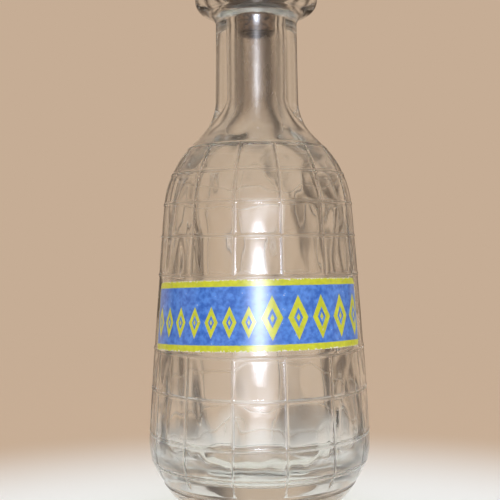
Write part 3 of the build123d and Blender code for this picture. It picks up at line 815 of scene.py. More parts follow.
@dataclass(frozen=True)
class StopperCork(Finish):
    """Natural cork, punched from bark, dark from syrup."""

    # To the eye: matt and spotted, tan granules among brown ones, with nearly black dents.
    name: str = "natural_cork_syrup_stained"
    pale: str = "6E543D"
    dark: str = "3B2A1F"
    pore: str = "2A1C14"
    granule: float = 1.3  # mm
    tone_size: float = 3.0  # mm, of darker and paler patches
    brown_range: Point = (0.1, 0.42)  # of granule times tone, between pale and dark
    pore_size: float = 2.2  # mm
    pore_range: Point = (0.6, 0.68)  # of the noise, from the edge of a pore inwards
    pore_depth: float = 0.25  # mm
    rough: float = 0.78

    def look(self, tree: NodeTree) -> dict[str, object]:
        """Granules in two browns with dark pores that are also dents.

        Args:
            tree: the material's nodes.

        Returns:
            What the Principled shader gets, by socket.
        """
        node = partial(add_node, tree)
        place = node(COORDINATES).outputs["Object"]
        cells = node("ShaderNodeTexVoronoi", place, sockets={"Scale": scale(self.granule)})
        tone = node(NOISE, place, sockets={"Scale": scale(self.tone_size), "Detail": 5.0})
        browns = node(RANGE, node(Sum.TIMES, cells.outputs["Distance"], tone), *self.brown_range)
        two_browns = {0: browns, 6: linear(self.pale), 7: linear(self.dark)}
        granules = node(MIX, sockets=two_browns, data_type="RGBA")
        pores = node(NOISE, place, sockets={"Scale": scale(self.pore_size), "Detail": 2.0})
        deep = node(RANGE, pores, *self.pore_range)
        colours = {0: deep, 6: granules, 7: linear(self.pore)}
        dents = {"Strength": 0.8, "Distance": self.pore_depth * MM, "Height": node(Sum.MINUS, 1.0, deep)}
        return {
            "Base Color": node(MIX, sockets=colours, data_type="RGBA"),
            "Roughness": self.rough,
            "Normal": node(BUMP, sockets=dents),
        }


@dataclass(frozen=True)
class SealRubber(Finish):
    """Black rubber, moulded, unpolished."""

    # To the eye: a dull dark line, greyed a little by dust.
    name: str = "moulded_seal_rubber"
    black: str = "1E1B19"
    grey: str = "3A3632"
    dust_size: float = 4.0  # mm
    rough: float = 0.72

    def look(self, tree: NodeTree) -> dict[str, object]:
        """Matt rubber with dusty patches.

        Args:
            tree: the material's nodes.

        Returns:
            What the Principled shader gets, by socket.
        """
        node = partial(add_node, tree)
        place = node(COORDINATES).outputs["Object"]
        dust = node(NOISE, place, sockets={"Scale": scale(self.dust_size), "Detail": 5.0})
        colours = {0: dust, 6: linear(self.black), 7: linear(self.grey)}
        return {"Base Color": node(MIX, sockets=colours, data_type="RGBA"), "Roughness": self.rough}


@dataclass(frozen=True)
class Surroundings:
    """Painted walls round the carafe.

    Glass and metal also catch dark stretches between the walls, which the eye never sees: painted shade in
    their reflections. Above, all rays meet a darker colour.
    """

    wall: str = "C6AD95"
    # painted shade: the dark stretches between the walls, seen only by glass and metal
    between: str = "4A3B2F"
    overhead: str = "AE9C8A"
    repeats: float = 8.0  # plain stretches in a turn
    plain: float = 0.34  # share of a repeat that stays plain
    shift: float = -0.1  # of the plain stretches, in repeats
    ceiling: Point = (0.35, 0.8)  # rise of a direction over which the walls turn into what is overhead

    def colour(self, tree: NodeTree, direction: object) -> Node:
        """The walls' colour in a direction from the carafe.

        Args:
            tree: where the nodes go.
            direction: socket of a vector that points away from the carafe.

        Returns:
            The node that gives the colour.
        """
        node = partial(add_node, tree)
        xyz = node(SPLIT, node(VECTOR, direction, operation="NORMALIZE"))
        turns = node(Sum.ANGLE, xyz.outputs["Y"], xyz.outputs["X"])
        repeat = node(Sum.PLUS, node(Sum.TIMES, turns, self.repeats / TURN), self.shift)
        gap = node(Sum.SIZE, node(Sum.MINUS, repeat, node(Sum.ROUND, repeat)))
        dim = node(RANGE, gap, self.plain / 2, 0.5, interpolation_type="SMOOTHSTEP")
        # painted shade: only rays of shine and of glass see the dark stretches
        rays = node("ShaderNodeLightPath").outputs
        bent = node(Sum.MOST, rays["Is Glossy Ray"], rays["Is Transmission Ray"])
        colours = {0: node(Sum.TIMES, dim, bent), 6: linear(self.wall), 7: linear(self.between)}
        walls = node(MIX, sockets=colours, data_type="RGBA")
        high = node(RANGE, xyz.outputs["Z"], *self.ceiling)
        return node(MIX, sockets={0: high, 6: walls, 7: linear(self.overhead)}, data_type="RGBA")

    def seen(self, tree: NodeTree) -> Node:
        """Tells sight from light.

        Args:
            tree: where the nodes go.

        Returns:
            A node that gives 1 for the rays of the camera, of shine and of clear glass, and 0 for light.
        """
        node = partial(add_node, tree)
        rays = node("ShaderNodeLightPath").outputs
        shine = node(Sum.MOST, rays["Is Camera Ray"], rays["Is Glossy Ray"])
        return node(Sum.MOST, shine, rays["Is Transmission Ray"])


@dataclass(frozen=True)
class PaintedBoard(Finish):
    """Board, painted matt with a roller."""

    # To the eye: an even pale grey where the carafe stands, and further out the colour of the walls.
    name: str = "matt_painted_board"
    stand: str = "F0F1F2"
    stand_middle: Point3 = (0.0, -0.19, 0.0)  # metres
    stand_edge: Point = (0.2, 0.34)  # metres from its middle, where the pale grey fades out
    last_light: Point = (0.3, 0.9)  # metres, where light and shadow on the board fade out
    rough: float = 0.9
    roller: float = 1.5  # mm, of the paint's texture
    texture: float = 0.05  # mm, its height
    walls: Surroundings = Surroundings()

    def away(self, tree: NodeTree) -> NodeSocket:
        """How far a point is from the middle of the stand, in metres."""
        place = add_node(tree, COORDINATES).outputs["Object"]
        return add_node(tree, VECTOR, place, self.stand_middle, operation="DISTANCE").outputs["Value"]

    def look(self, tree: NodeTree) -> dict[str, object]:
        """Pale stand that runs into the colour of the walls, with a faint roller texture.

        Args:
            tree: the material's nodes.

        Returns:
            What the Principled shader gets, by socket.
        """
        node = partial(add_node, tree)
        place = node(COORDINATES).outputs["Object"]
        share = node(RANGE, self.away(tree), *self.stand_edge, interpolation_type="SMOOTHSTEP")
        colours = {0: share, 6: linear(self.stand), 7: self.walls.colour(tree, place)}
        paint = node(NOISE, place, sockets={"Scale": scale(self.roller), "Detail": 3.0})
        return {
            "Base Color": node(MIX, sockets=colours, data_type="RGBA"),
            "Roughness": self.rough,
            "Normal": node(BUMP, sockets={"Strength": 0.1, "Distance": self.texture * MM, "Height": paint}),
        }

    def output(self, tree: NodeTree, shader: Node) -> dict[str, object]:
        """Lit board near the stand; far out, sight meets the plain colour of the walls.

        Args:
            tree: the material's nodes.
            shader: the Principled shader.

        Returns:
            What the material's output gets, by socket.
        """
        node = partial(add_node, tree)
        place = node(COORDINATES).outputs["Object"]
        far = node(RANGE, self.away(tree), *self.last_light, interpolation_type="SMOOTHSTEP")
        plain = node("ShaderNodeEmission", self.walls.colour(tree, place), 1.0)
        share = node(Sum.TIMES, far, self.walls.seen(tree))
        return {"Surface": node("ShaderNodeMixShader", share, shader, plain)}


# ---------------------------------------------------------------- geometry node trees


@dataclass
class ShapeTree:
    """A Geometry Nodes tree with named inputs, and the way to run it on an object."""

    name: str
    inputs: Mapping[str, tuple[str, object]]  # kind of socket and value, by name

    def start(self) -> tuple[NodeTree, Node]:
        """Makes the tree with its sockets.

        Returns:
            The tree and its input node.
        """
        tree = bpy.data.node_groups.new(self.name, "GeometryNodeTree")
        kinds = {"Geometry": "Geometry", **{name: kind for name, (kind, _) in self.inputs.items()}}
        for name, kind in {**kinds, "Material": "Material"}.items():
            tree.interface.new_socket(name=name, in_out="INPUT", socket_type="NodeSocket" + kind)
        tree.interface.new_socket(name="Geometry", in_out="OUTPUT", socket_type="NodeSocketGeometry")
        return tree, add_node(tree, "NodeGroupInput")

    def end(self, tree: NodeTree, given: Node, geometry: Node) -> None:
        """Ends the tree in Realize Instances and Set Material.

        Args:
            tree: the tree.
            given: its input node.
            geometry: the node that made the shape.
        """
        node = partial(add_node, tree)
        smooth = node("GeometryNodeSetShadeSmooth", node("GeometryNodeRealizeInstances", geometry))
        finish = {"Geometry": smooth, "Material": given.outputs["Material"]}
        node("NodeGroupOutput", node("GeometryNodeSetMaterial", sockets=finish))

    def run(self, tree: NodeTree, piece: Object, material: Material) -> None:
        """Runs the tree on a piece and keeps the result as its plain mesh.

        Args:
            tree: the tree.
            piece: the object that it shapes.
            material: the finish that it sets.
        """
        modifier = piece.modifiers.new(self.name, "NODES")
        modifier.node_group = tree
        values = {**{name: value for name, (_, value) in self.inputs.items()}, "Material": material}
        for item in tree.interface.items_tree:
            if item.item_type == "SOCKET" and item.in_out == "INPUT" and item.name in values:
                modifier[item.identifier] = values[item.name]
        bake(piece)


def rivet_heads(
    name: str, spots: Sequence[Point3], facing: Point3, size: Point, material: Material
) -> Object:
    """Sets a domed rivet head on each spot.

    Args:
        name: the piece's name.
        spots: the middle of each head's foot, in millimetres.
        facing: the way that the heads point.
        size: radius and height of a head, in millimetres.
        material: the heads' finish.

    Returns:
        All the heads as one mesh.
    """
    radius, height = (length * MM for length in size)
    inputs = {"Head size": ("Vector", (radius, radius, height)), "Facing": ("Vector", facing)}
    shape = ShapeTree("Rivet heads", inputs)
    tree, given = shape.start()
    node = partial(add_node, tree)
    ball = node("GeometryNodeMeshUVSphere", sockets={"Segments": 20, "Rings": 10, "Radius": 1.0})
    facing_way = {"Vector": given.outputs["Facing"]}
    turned = node("FunctionNodeAlignRotationToVector", sockets=facing_way, axis="Z")
    heads = {
        "Points": given.outputs["Geometry"],
        "Instance": ball.outputs["Mesh"],
        "Rotation": turned,
        "Scale": given.outputs["Head size"],
    }
    shape.end(tree, given, node("GeometryNodeInstanceOnPoints", sockets=heads))
    mesh = bpy.data.meshes.new(name)
    mesh.from_pydata([tuple(c * MM for c in spot) for spot in spots], [], [])
    piece = new_object(name, mesh)
    shape.run(tree, piece, material)
    return piece


def grip_ribs(
    name: str, place: Matrix, count: int, reach: float, width: float, radius: float, material: Material
) -> Object:
    """Lays a row of round ribs across an oval pad.

    Args:
        name: the piece's name.
        place: the pad's frame in metres: its first axis along the row, its second across.
        count: how many ribs.
        reach: length of the row, in millimetres.
        width: of the pad at its middle, in millimetres.
        radius: of a rib, in millimetres.
        material: the ribs' finish.

    Returns:
        All the ribs as one mesh.
    """
    shape = ShapeTree(
        "Grip ribs",
        {
            "Count": ("Int", count),
            "Start": ("Vector", (-reach / 2 * MM, 0.0, 0.0)),
            "Step": ("Vector", (reach / (count - 1) * MM, 0.0, 0.0)),
            "Pad length": ("Float", reach * 1.35 * MM),
            "Width": ("Float", width * MM),
            "Share of width": ("Float", 0.42),
            "Rib radius": ("Float", radius * MM),
        },
    )
    tree, given = shape.start()
    node = partial(add_node, tree)
    size = given.outputs
    row = {"Count": size["Count"], "Start Location": size["Start"], "Offset": size["Step"]}
    line = node("GeometryNodeMeshLine", sockets=row)
    ball = node("GeometryNodeMeshUVSphere", sockets={"Segments": 16, "Rings": 10, "Radius": 1.0})
    x = node(SPLIT, node("GeometryNodeInputPosition")).outputs["X"]
    share = node(Sum.OVER, node(Sum.TIMES, x, 2.0), size["Pad length"])
    narrowed = node(Sum.ROOT, node(Sum.MINUS, 1.0, node(Sum.TIMES, share, share)))
    half_rib = node(Sum.TIMES, narrowed, node(Sum.TIMES, size["Width"], size["Share of width"]))
    rib = node("ShaderNodeCombineXYZ", size["Rib radius"], half_rib, size["Rib radius"])
    ribs = {"Points": line, "Instance": ball.outputs["Mesh"], "Scale": rib}
    shape.end(tree, given, node("GeometryNodeInstanceOnPoints", sockets=ribs))
    piece = new_object(name, bpy.data.meshes.new(name))
    shape.run(tree, piece, material)
    piece.data.transform(place)
    return piece


# ---------------------------------------------------------------- the carafe's pieces


@dataclass
class Bottle:
    """Quilted pressed-glass bottle with a thick base, a narrow bore and a cup-shaped mouth."""

    # Millimetres throughout. The points of outlines are radii and heights.
    hollow: Point = (28.5, 4.0)  # radius and rise of the dome under the foot
    foot: tuple[Point, ...] = ((28.5, 0.0), (32.0, 0.0), (33.2, 1.3))  # corners of the resting ring
    foot_edge: float = 0.7  # rounding of these
    heel: Leg = ((41.7, 10.4), 0.8, 8)
    heel_edge: Point = (42.0, 10.8)
    wall_low: Point = (41.6, 11.0)
    base: Leg = ((47.95, 30.0), 2.0, 40)
    taper: Leg = ((40.9, 130.5), 0.4, 200)
    shoulder: tuple[Leg, ...] = (((29.7, 155.1), 2.15, 50), ((24.0, 161.0), 0.0, 8))
    neck: tuple[Leg, ...] = (((18.2, 174.5), -1.25, 12), ((17.7, 209.3), 0.0, 4))
    collar: tuple[Leg, ...] = (((21.5, 213.9), -0.75, 8), ((26.8, 219.9), 1.6, 10), ((26.8, 223.0), 0.0, 2))
    lip: Leg = ((24.5, 229.0), 1.2, 8)
    floor: Point = (28.4, 18.0)  # edge of the cavity's floor
    push_up: float = 5.5  # rise of its middle
    inner_base: tuple[Leg, ...] = (((43.4, 33.0), 4.2, 14), ((36.3, 130.5), 0.4, 40))
    inner_shoulder: tuple[Leg, ...] = (((21.5, 154.0), 2.6, 12), ((8.5, 176.0), -2.8, 14))
    bore: tuple[Leg, ...] = (((8.5, 211.8), 0.0, 9), ((11.7, 213.8), -0.5, 4))
    cup: tuple[Leg, ...] = (((17.4, 219.8), 1.3, 8), ((19.6, 228.0), 0.0, 5), ((20.6, 229.0), -0.25, 4))
    ring_row: float = 0.24  # between the mesh's rows across a ring
    spare_row: float = 2.8  # between the rows elsewhere
    panels: int = 14
    rings: tuple[float, ...] = (20.8, 33.2, 51.8, 68.8, 100.3, 116.6, 130.4, 143.1, 154.6)
    uprights: tuple[Point, ...] = ((15.0, 68.8), (100.3, 154.6))  # lowest and highest point
    ring_half: float = 1.15
    upright_half: float = 0.95
    rib: float = 0.25  # height of rings and uprights
    pane: float = 0.16  # height of the panes' pillows
    wave_size: float = 14.0
    wave_rate: float = 0.38  # how much slower the waves change upwards than across
    skin_wave: float = 0.12
    inside_wave: float = 0.6
    waving: Fade = (17.0, 12.0, 168.0, 20.0)  # heights where the inside waves
    bore_streaking: Fade = (160.0, 14.0, 206.0, 3.0)  # heights where the bore gets the streaky brown tint
    seed: float = 4.0

    def side(self) -> list[Point]:
        """The long tapered stretch of the outer wall, going up, before it is quilted."""
        return path(self.base[0], self.taper)

    def underside(self) -> list[Point]:
        """The hollow's dome and the resting ring, from the axis outwards.

        Returns:
            Radii and heights.
        """
        (land, rise), steps = self.hollow, 8
        ball = (land**2 + rise**2) / (2 * rise)
        radii = [land * i / steps for i in range(steps)]
        dome = [(radius, rise - ball + math.sqrt(ball**2 - radius**2)) for radius in radii]
        return dome + soften([dome[-1], *self.foot], self.foot_edge)[1:-1]

    def wall(self) -> list[Point]:
        """The outer wall from the foot to the throat, with rows close together across each ring.

        Returns:
            Radii and heights, going up.
        """
        line = path(self.wall_low, self.base, self.taper, *self.shoulder)
        steps, clear = 6, 1.7  # rows on each side of a ring, and how far from it the spare rows stay
        offsets = [self.ring_row * step for step in range(-steps, steps + 1)]
        heights = {round(ring + offset, 3) for ring in self.rings for offset in offsets}
        spare = self.wall_low[1]
        while spare < line[-1][1]:
            if min(abs(spare - ring) for ring in self.rings) > clear:
                heights.add(round(spare, 3))
            spare += self.spare_row
        return [(self.radius_on(line, height), height) for height in sorted(heights)]

    def radius_on(self, line: Sequence[Point], height: float) -> float:
        """Radius of a rising outline at a height.

        Args:
            line: the outline, going up.
            height: in millimetres.

        Returns:
            The radius in millimetres.
        """
        for (r0, z0), (r1, z1) in zip(line, line[1:]):
            if z0 <= height <= z1:
                return r0 + (r1 - r0) * (height - z0) / (z1 - z0)
        raise ValueError(f"no outline at height {height}")

    def mouth(self) -> list[Point]:
        """The throat, the neck, the collar and the rim, going up."""
        return path(self.shoulder[-1][0], *self.neck, *self.collar, self.lip)[1:]

    def cavity(self) -> list[Point]:
        """The inside, from the middle of the floor up to the rim.

        Returns:
            Radii and heights.
        """
        (edge, height), steps = self.floor, 12
        shares = [i / steps for i in range(steps)]
        floor = [(edge * share, height + self.push_up * (1 - share**2)) for share in shares]
        return floor + path(self.floor, *self.inner_base, *self.inner_shoulder, *self.bore, *self.cup)

    def columns(self) -> list[float]:
        """Angles of the mesh's columns: close together across each upright.

        Returns:
            The angles in radians, in the order of the turn.
        """
        panel = TURN / self.panels
        steps = [math.radians(step) for step in (0.35, 0.7, 1.05, 1.4, 2.8, 4.8, 6.8, 8.8, 10.8)]
        offsets = [0.0, *steps, panel / 2, *(panel - step for step in reversed(steps))]
        start = -math.pi / 2 + panel / 2
        return [start + panel * i + offset for i in range(self.panels) for offset in offsets]

    def row_marks(self, height: float, outside: bool, inside: bool) -> dict[str, float]:
        """What the quilting does on a row of the bottle.

        Args:
            height: the row's height, in millimetres.
            outside: whether the row is on the outer wall.
            inside: whether it is on the inner wall.

        Returns:
            The values of the bottle's attributes on that row.
        """
        far = 99.0  # millimetres from any ring
        wall = outside and height > self.wall_low[1] + 1.0
        fades = [(low - 1.0, 1.5, high + 0.2, 0.4) for low, high in self.uprights]
        upright = max(plateau(height, fade) for fade in fades) if wall else 0.0
        pane = 0.0
        for low, high in zip(self.rings, self.rings[1:]):
            if upright and low < height < high:
                pane = 1.0 - ((2 * height - low - high) / (high - low)) ** 4
        return {
            "ring_gap": min(abs(height - ring) for ring in self.rings) if wall else far,
            "upright": upright,
            "pane": pane,
            "skin": float(wall),
            "inside": plateau(height, self.waving) if inside else 0.0,
            "bore": plateau(height, self.bore_streaking) if inside else 0.0,
        }

    def quilt(self, piece: Object, glass: Material) -> None:
        """Raises the ribs and pillows the panes of the wall, and lets its inside waver.

        Args:
            piece: the turned bottle, with the attributes that row_marks gives.
            glass: the bottle's finish.
        """
        lengths = {
            "Upright half width": self.upright_half,
            "Ring half width": self.ring_half,
            "Rib height": self.rib,
            "Pane height": self.pane,
            "Skin wave": self.skin_wave,
            "Inside wave": self.inside_wave,
            "Wave size": self.wave_size,
        }
        inputs = {name: ("Float", length * MM) for name, length in lengths.items()}
        inputs |= {"Panels": ("Float", self.panels), "Seed": ("Float", self.seed)}
        shape = ShapeTree("Quilted wall", inputs)
        tree, given = shape.start()
        node = partial(add_node, tree)
        size = given.outputs
        read = ("ring_gap", "upright", "pane", "skin", "inside")
        marks = {name: node(STORED, name, data_type="FLOAT") for name in read}

        def ridge(gap: Node, half: NodeSocket) -> Node:
            """A smooth ridge: 1 on its crest, 0 from half its width outwards."""
            share = node(Sum.LEAST, node(Sum.OVER, gap, half), 1.0)
            return node(Sum.POWER, node(Sum.MINUS, 1.0, node(Sum.TIMES, share, share)), 2.0)

        place = node("GeometryNodeInputPosition")
        x, y = node(SPLIT, place).outputs[:2]
        radius = node(Sum.ROOT, node(Sum.PLUS, node(Sum.TIMES, x, x), node(Sum.TIMES, y, y)))
        turns = node(Sum.OVER, node(Sum.PLUS, node(Sum.ANGLE, y, x), math.pi / 2), TURN)
        panel = node(Sum.TIMES, turns, size["Panels"])
        off_middle = node(Sum.SIZE, node(Sum.MINUS, panel, node(Sum.ROUND, panel)))
        panel_width = node(Sum.OVER, node(Sum.TIMES, radius, TURN), size["Panels"])
        upright_gap = node(Sum.TIMES, node(Sum.MINUS, 0.5, off_middle), panel_width)
        upright = node(Sum.TIMES, ridge(upright_gap, size["Upright half width"]), marks["upright"])
        ring = ridge(node(Sum.TIMES, marks["ring_gap"], MM), size["Ring half width"])
        crest = node(Sum.MOST, upright, ring)
        rib = node(Sum.TIMES, crest, size["Rib height"])
        crown = node(Sum.MINUS, 1.0, node(Sum.POWER, node(Sum.TIMES, off_middle, 2.0), 2.0))
        pane = node(Sum.TIMES, node(Sum.TIMES, crown, marks["pane"]), size["Pane height"])

        drawn_up = node(VECTOR, place, (1.0, 1.0, self.wave_rate), operation="MULTIPLY")
        rate = node(Sum.OVER, 1.0, size["Wave size"])
        waves = []
        for seed_step, mark, height, spread, top in (
            (0.0, "skin", "Skin wave", 0.5, 0.0),  # the skin only sinks, so it stays within the ribs
            (7.3, "inside", "Inside wave", 0.15, 1.0),
        ):
            noise_sockets = {
                "Vector": drawn_up,
                "W": node(Sum.PLUS, size["Seed"], seed_step),
                "Scale": rate,
                "Detail": 1.5,
            }
            cloud = node(NOISE, sockets=noise_sockets, noise_dimensions="4D")
            ends = (0.5 - spread, 0.5 + spread, -1.0, top)
            swing = node(RANGE, cloud, *ends, interpolation_type="SMOOTHSTEP")
            waves.append(node(Sum.TIMES, node(Sum.TIMES, swing, marks[mark]), size[height]))

        rise = node(Sum.PLUS, node(Sum.PLUS, rib, pane), node(Sum.PLUS, *waves))
        offset = node(VECTOR, node("GeometryNodeInputNormal"), sockets={"Scale": rise}, operation="SCALE")
        moved = node("GeometryNodeSetPosition", sockets={"Geometry": size["Geometry"], "Offset": offset})
        kept = {"Geometry": moved, "Name": "crest", "Value": crest}
        kind = "GeometryNodeStoreNamedAttribute"
        shape.end(tree, given, node(kind, sockets=kept, data_type="FLOAT", domain="POINT"))
        shape.run(tree, piece, glass)

    def build(self, glass: Material) -> Object:
        """Turns the outline, then raises the quilting on it.

        Args:
            glass: the bottle's finish.

        Returns:
            The bottle.
        """
        under = self.underside()
        outer = under + arc(under[-1], *self.heel) + [self.heel_edge] + self.wall()
        inner = list(reversed(self.cavity()))
        outline = outer + self.mouth() + inner
        columns = self.columns()
        marks: dict[str, list[float]] = {}
        for number, (radius, height) in enumerate(outline):
            copies = 1 if radius < TINY else len(columns)
            inside = number >= len(outline) - len(inner)
            for name, value in self.row_marks(height, number < len(outer), inside).items():
                marks.setdefault(name, []).extend([value] * copies)
        piece = lathe("glass_bottle", outline, columns, sharp=180.0, marks=marks)
        self.quilt(piece, glass)
        return dress(piece, glass, Body.BOTTLE, Slot.GLASS, "bottle")


@dataclass
class Label:
    """Straight strip of paper round the plain band of the bottle, so its ends droop on the taper."""

    height: float = 28.1
    low: float = 71.4  # height of its lower edge in the middle
    left: float = 69.5  # degrees
    right: float = 66.2
    half: float = 53.0  # length along which it droops and tilts by these
    droop: float = 1.6
    tilt: float = 0.7
    thick: float = 0.13
    glue: float = 0.03
    corner: float = 2.2
    columns: int = 132
    rows: int = 26

    def lay(self, bottle: Bottle) -> tuple[list[Point3], dict[str, list[float]]]:
        """Lays the front and then the back of the strip on the glass.

        Args:
            bottle: the bottle that it is stuck to.

        Returns:
            The vertices and their marks.
        """
        wall = bottle.side()
        middle = bottle.radius_on(wall, self.low + self.height / 2)
        start, end = -math.radians(self.left) * middle, math.radians(self.right) * middle
        vertices: list[Point3] = []
        marks: dict[str, list[float]] = {"along": [], "up": [], "back": []}
        for side in (0, 1):
            for i in range(self.columns + 1):
                along = start + (end - start) * i / self.columns
                to_end = max(0.0, min(along - start, end - along, self.corner))
                inset = self.corner - math.sqrt(self.corner**2 - (self.corner - to_end) ** 2)
                reach = along / self.half
                turn = -math.pi / 2 + along / middle
                for j in range(self.rows + 1):
                    up = inset + (self.height - 2 * inset) * j / self.rows
                    z = self.low + up - self.droop * reach**2 + self.tilt * reach
                    radius = bottle.radius_on(wall, z) + self.glue + (0.0 if side else self.thick)
                    for ring in bottle.rings:
                        share = min(abs(z - ring) / bottle.ring_half, 1.0)
                        radius += bottle.rib * (1 - share**2) ** 2
                    vertices.append((radius * math.cos(turn), radius * math.sin(turn), z))
                    for mark, value in (("along", along), ("up", up), ("back", float(side))):
                        marks[mark].append(value)
        return vertices, marks

    def build(self, bottle: Bottle, paper: Material) -> Object:
        """Closes the strip between its front and its back.

        Args:
            bottle: the bottle that it is stuck to.
            paper: the printed paper.

        Returns:
            The label.
        """
        vertices, marks = self.lay(bottle)
        across = self.rows + 1
        count = across * (self.columns + 1)
        faces: list[Sequence[int]] = []
        for i in range(self.columns):
            for j in range(self.rows):
                a = i * across + j
                faces.append((a, a + across, a + across + 1, a + 1))
                faces.append((count + a, count + a + 1, count + a + across + 1, count + a + across))
        rim = [i * across for i in range(self.columns + 1)]
        rim += [self.columns * across + j for j in range(1, across)]
        rim += [i * across + self.rows for i in range(self.columns - 1, -1, -1)]
        rim += list(range(self.rows - 1, 0, -1))
        for a, b in zip(rim, rim[1:] + rim[:1]):
            faces.append((a, b, count + b, count + a))
        piece = mesh_object("label_strip", vertices, faces, marks=marks)
        return dress(piece, paper, Body.BOTTLE, Slot.PAPER, "label")


@dataclass
class MetalWork:
    """Nickel-plated pieces that move together, and the sizes that the stopper and the lid share."""

    metal: Material
    body: Body
    seat: float = 254.8  # height of the bowl's edge, on which the lid rests
    hinge: Point = (22.0, 256.3)  # the pin's place along X, and its height
    knuckle: float = 2.4  # outer radius of the knuckles round the pin
    pin: Point = (1.1, 6.15)  # the pin's radius, and half its length
    fine: int = 144  # columns of the widest turned pieces

    def dressed(self, piece: Object, node: str) -> Object:
        """Dresses one metal piece in place of a CAD node."""
        return dress(piece, self.metal, self.body, Slot.METAL, node)

    def turned(
        self,
        name: str,
        node: str,
        section: Sequence[Point],
        columns: int,
        round_off: float = 0.0,
        **more: object,
    ) -> Object:
        """Turns and dresses a metal ring.

        Args:
            name: the piece's name.
            node: the CAD node that it stands for.
            section: the corners of its section.
            columns: how many columns it has round the turn.
            round_off: how far its corners are rounded.
            **more: what else the lathe is told.

        Returns:
            The piece.
        """
        if round_off:
            section = soften(section, round_off, closed=True)
        return self.dressed(lathe(name, section, angles(columns), closed=True, **more), node)


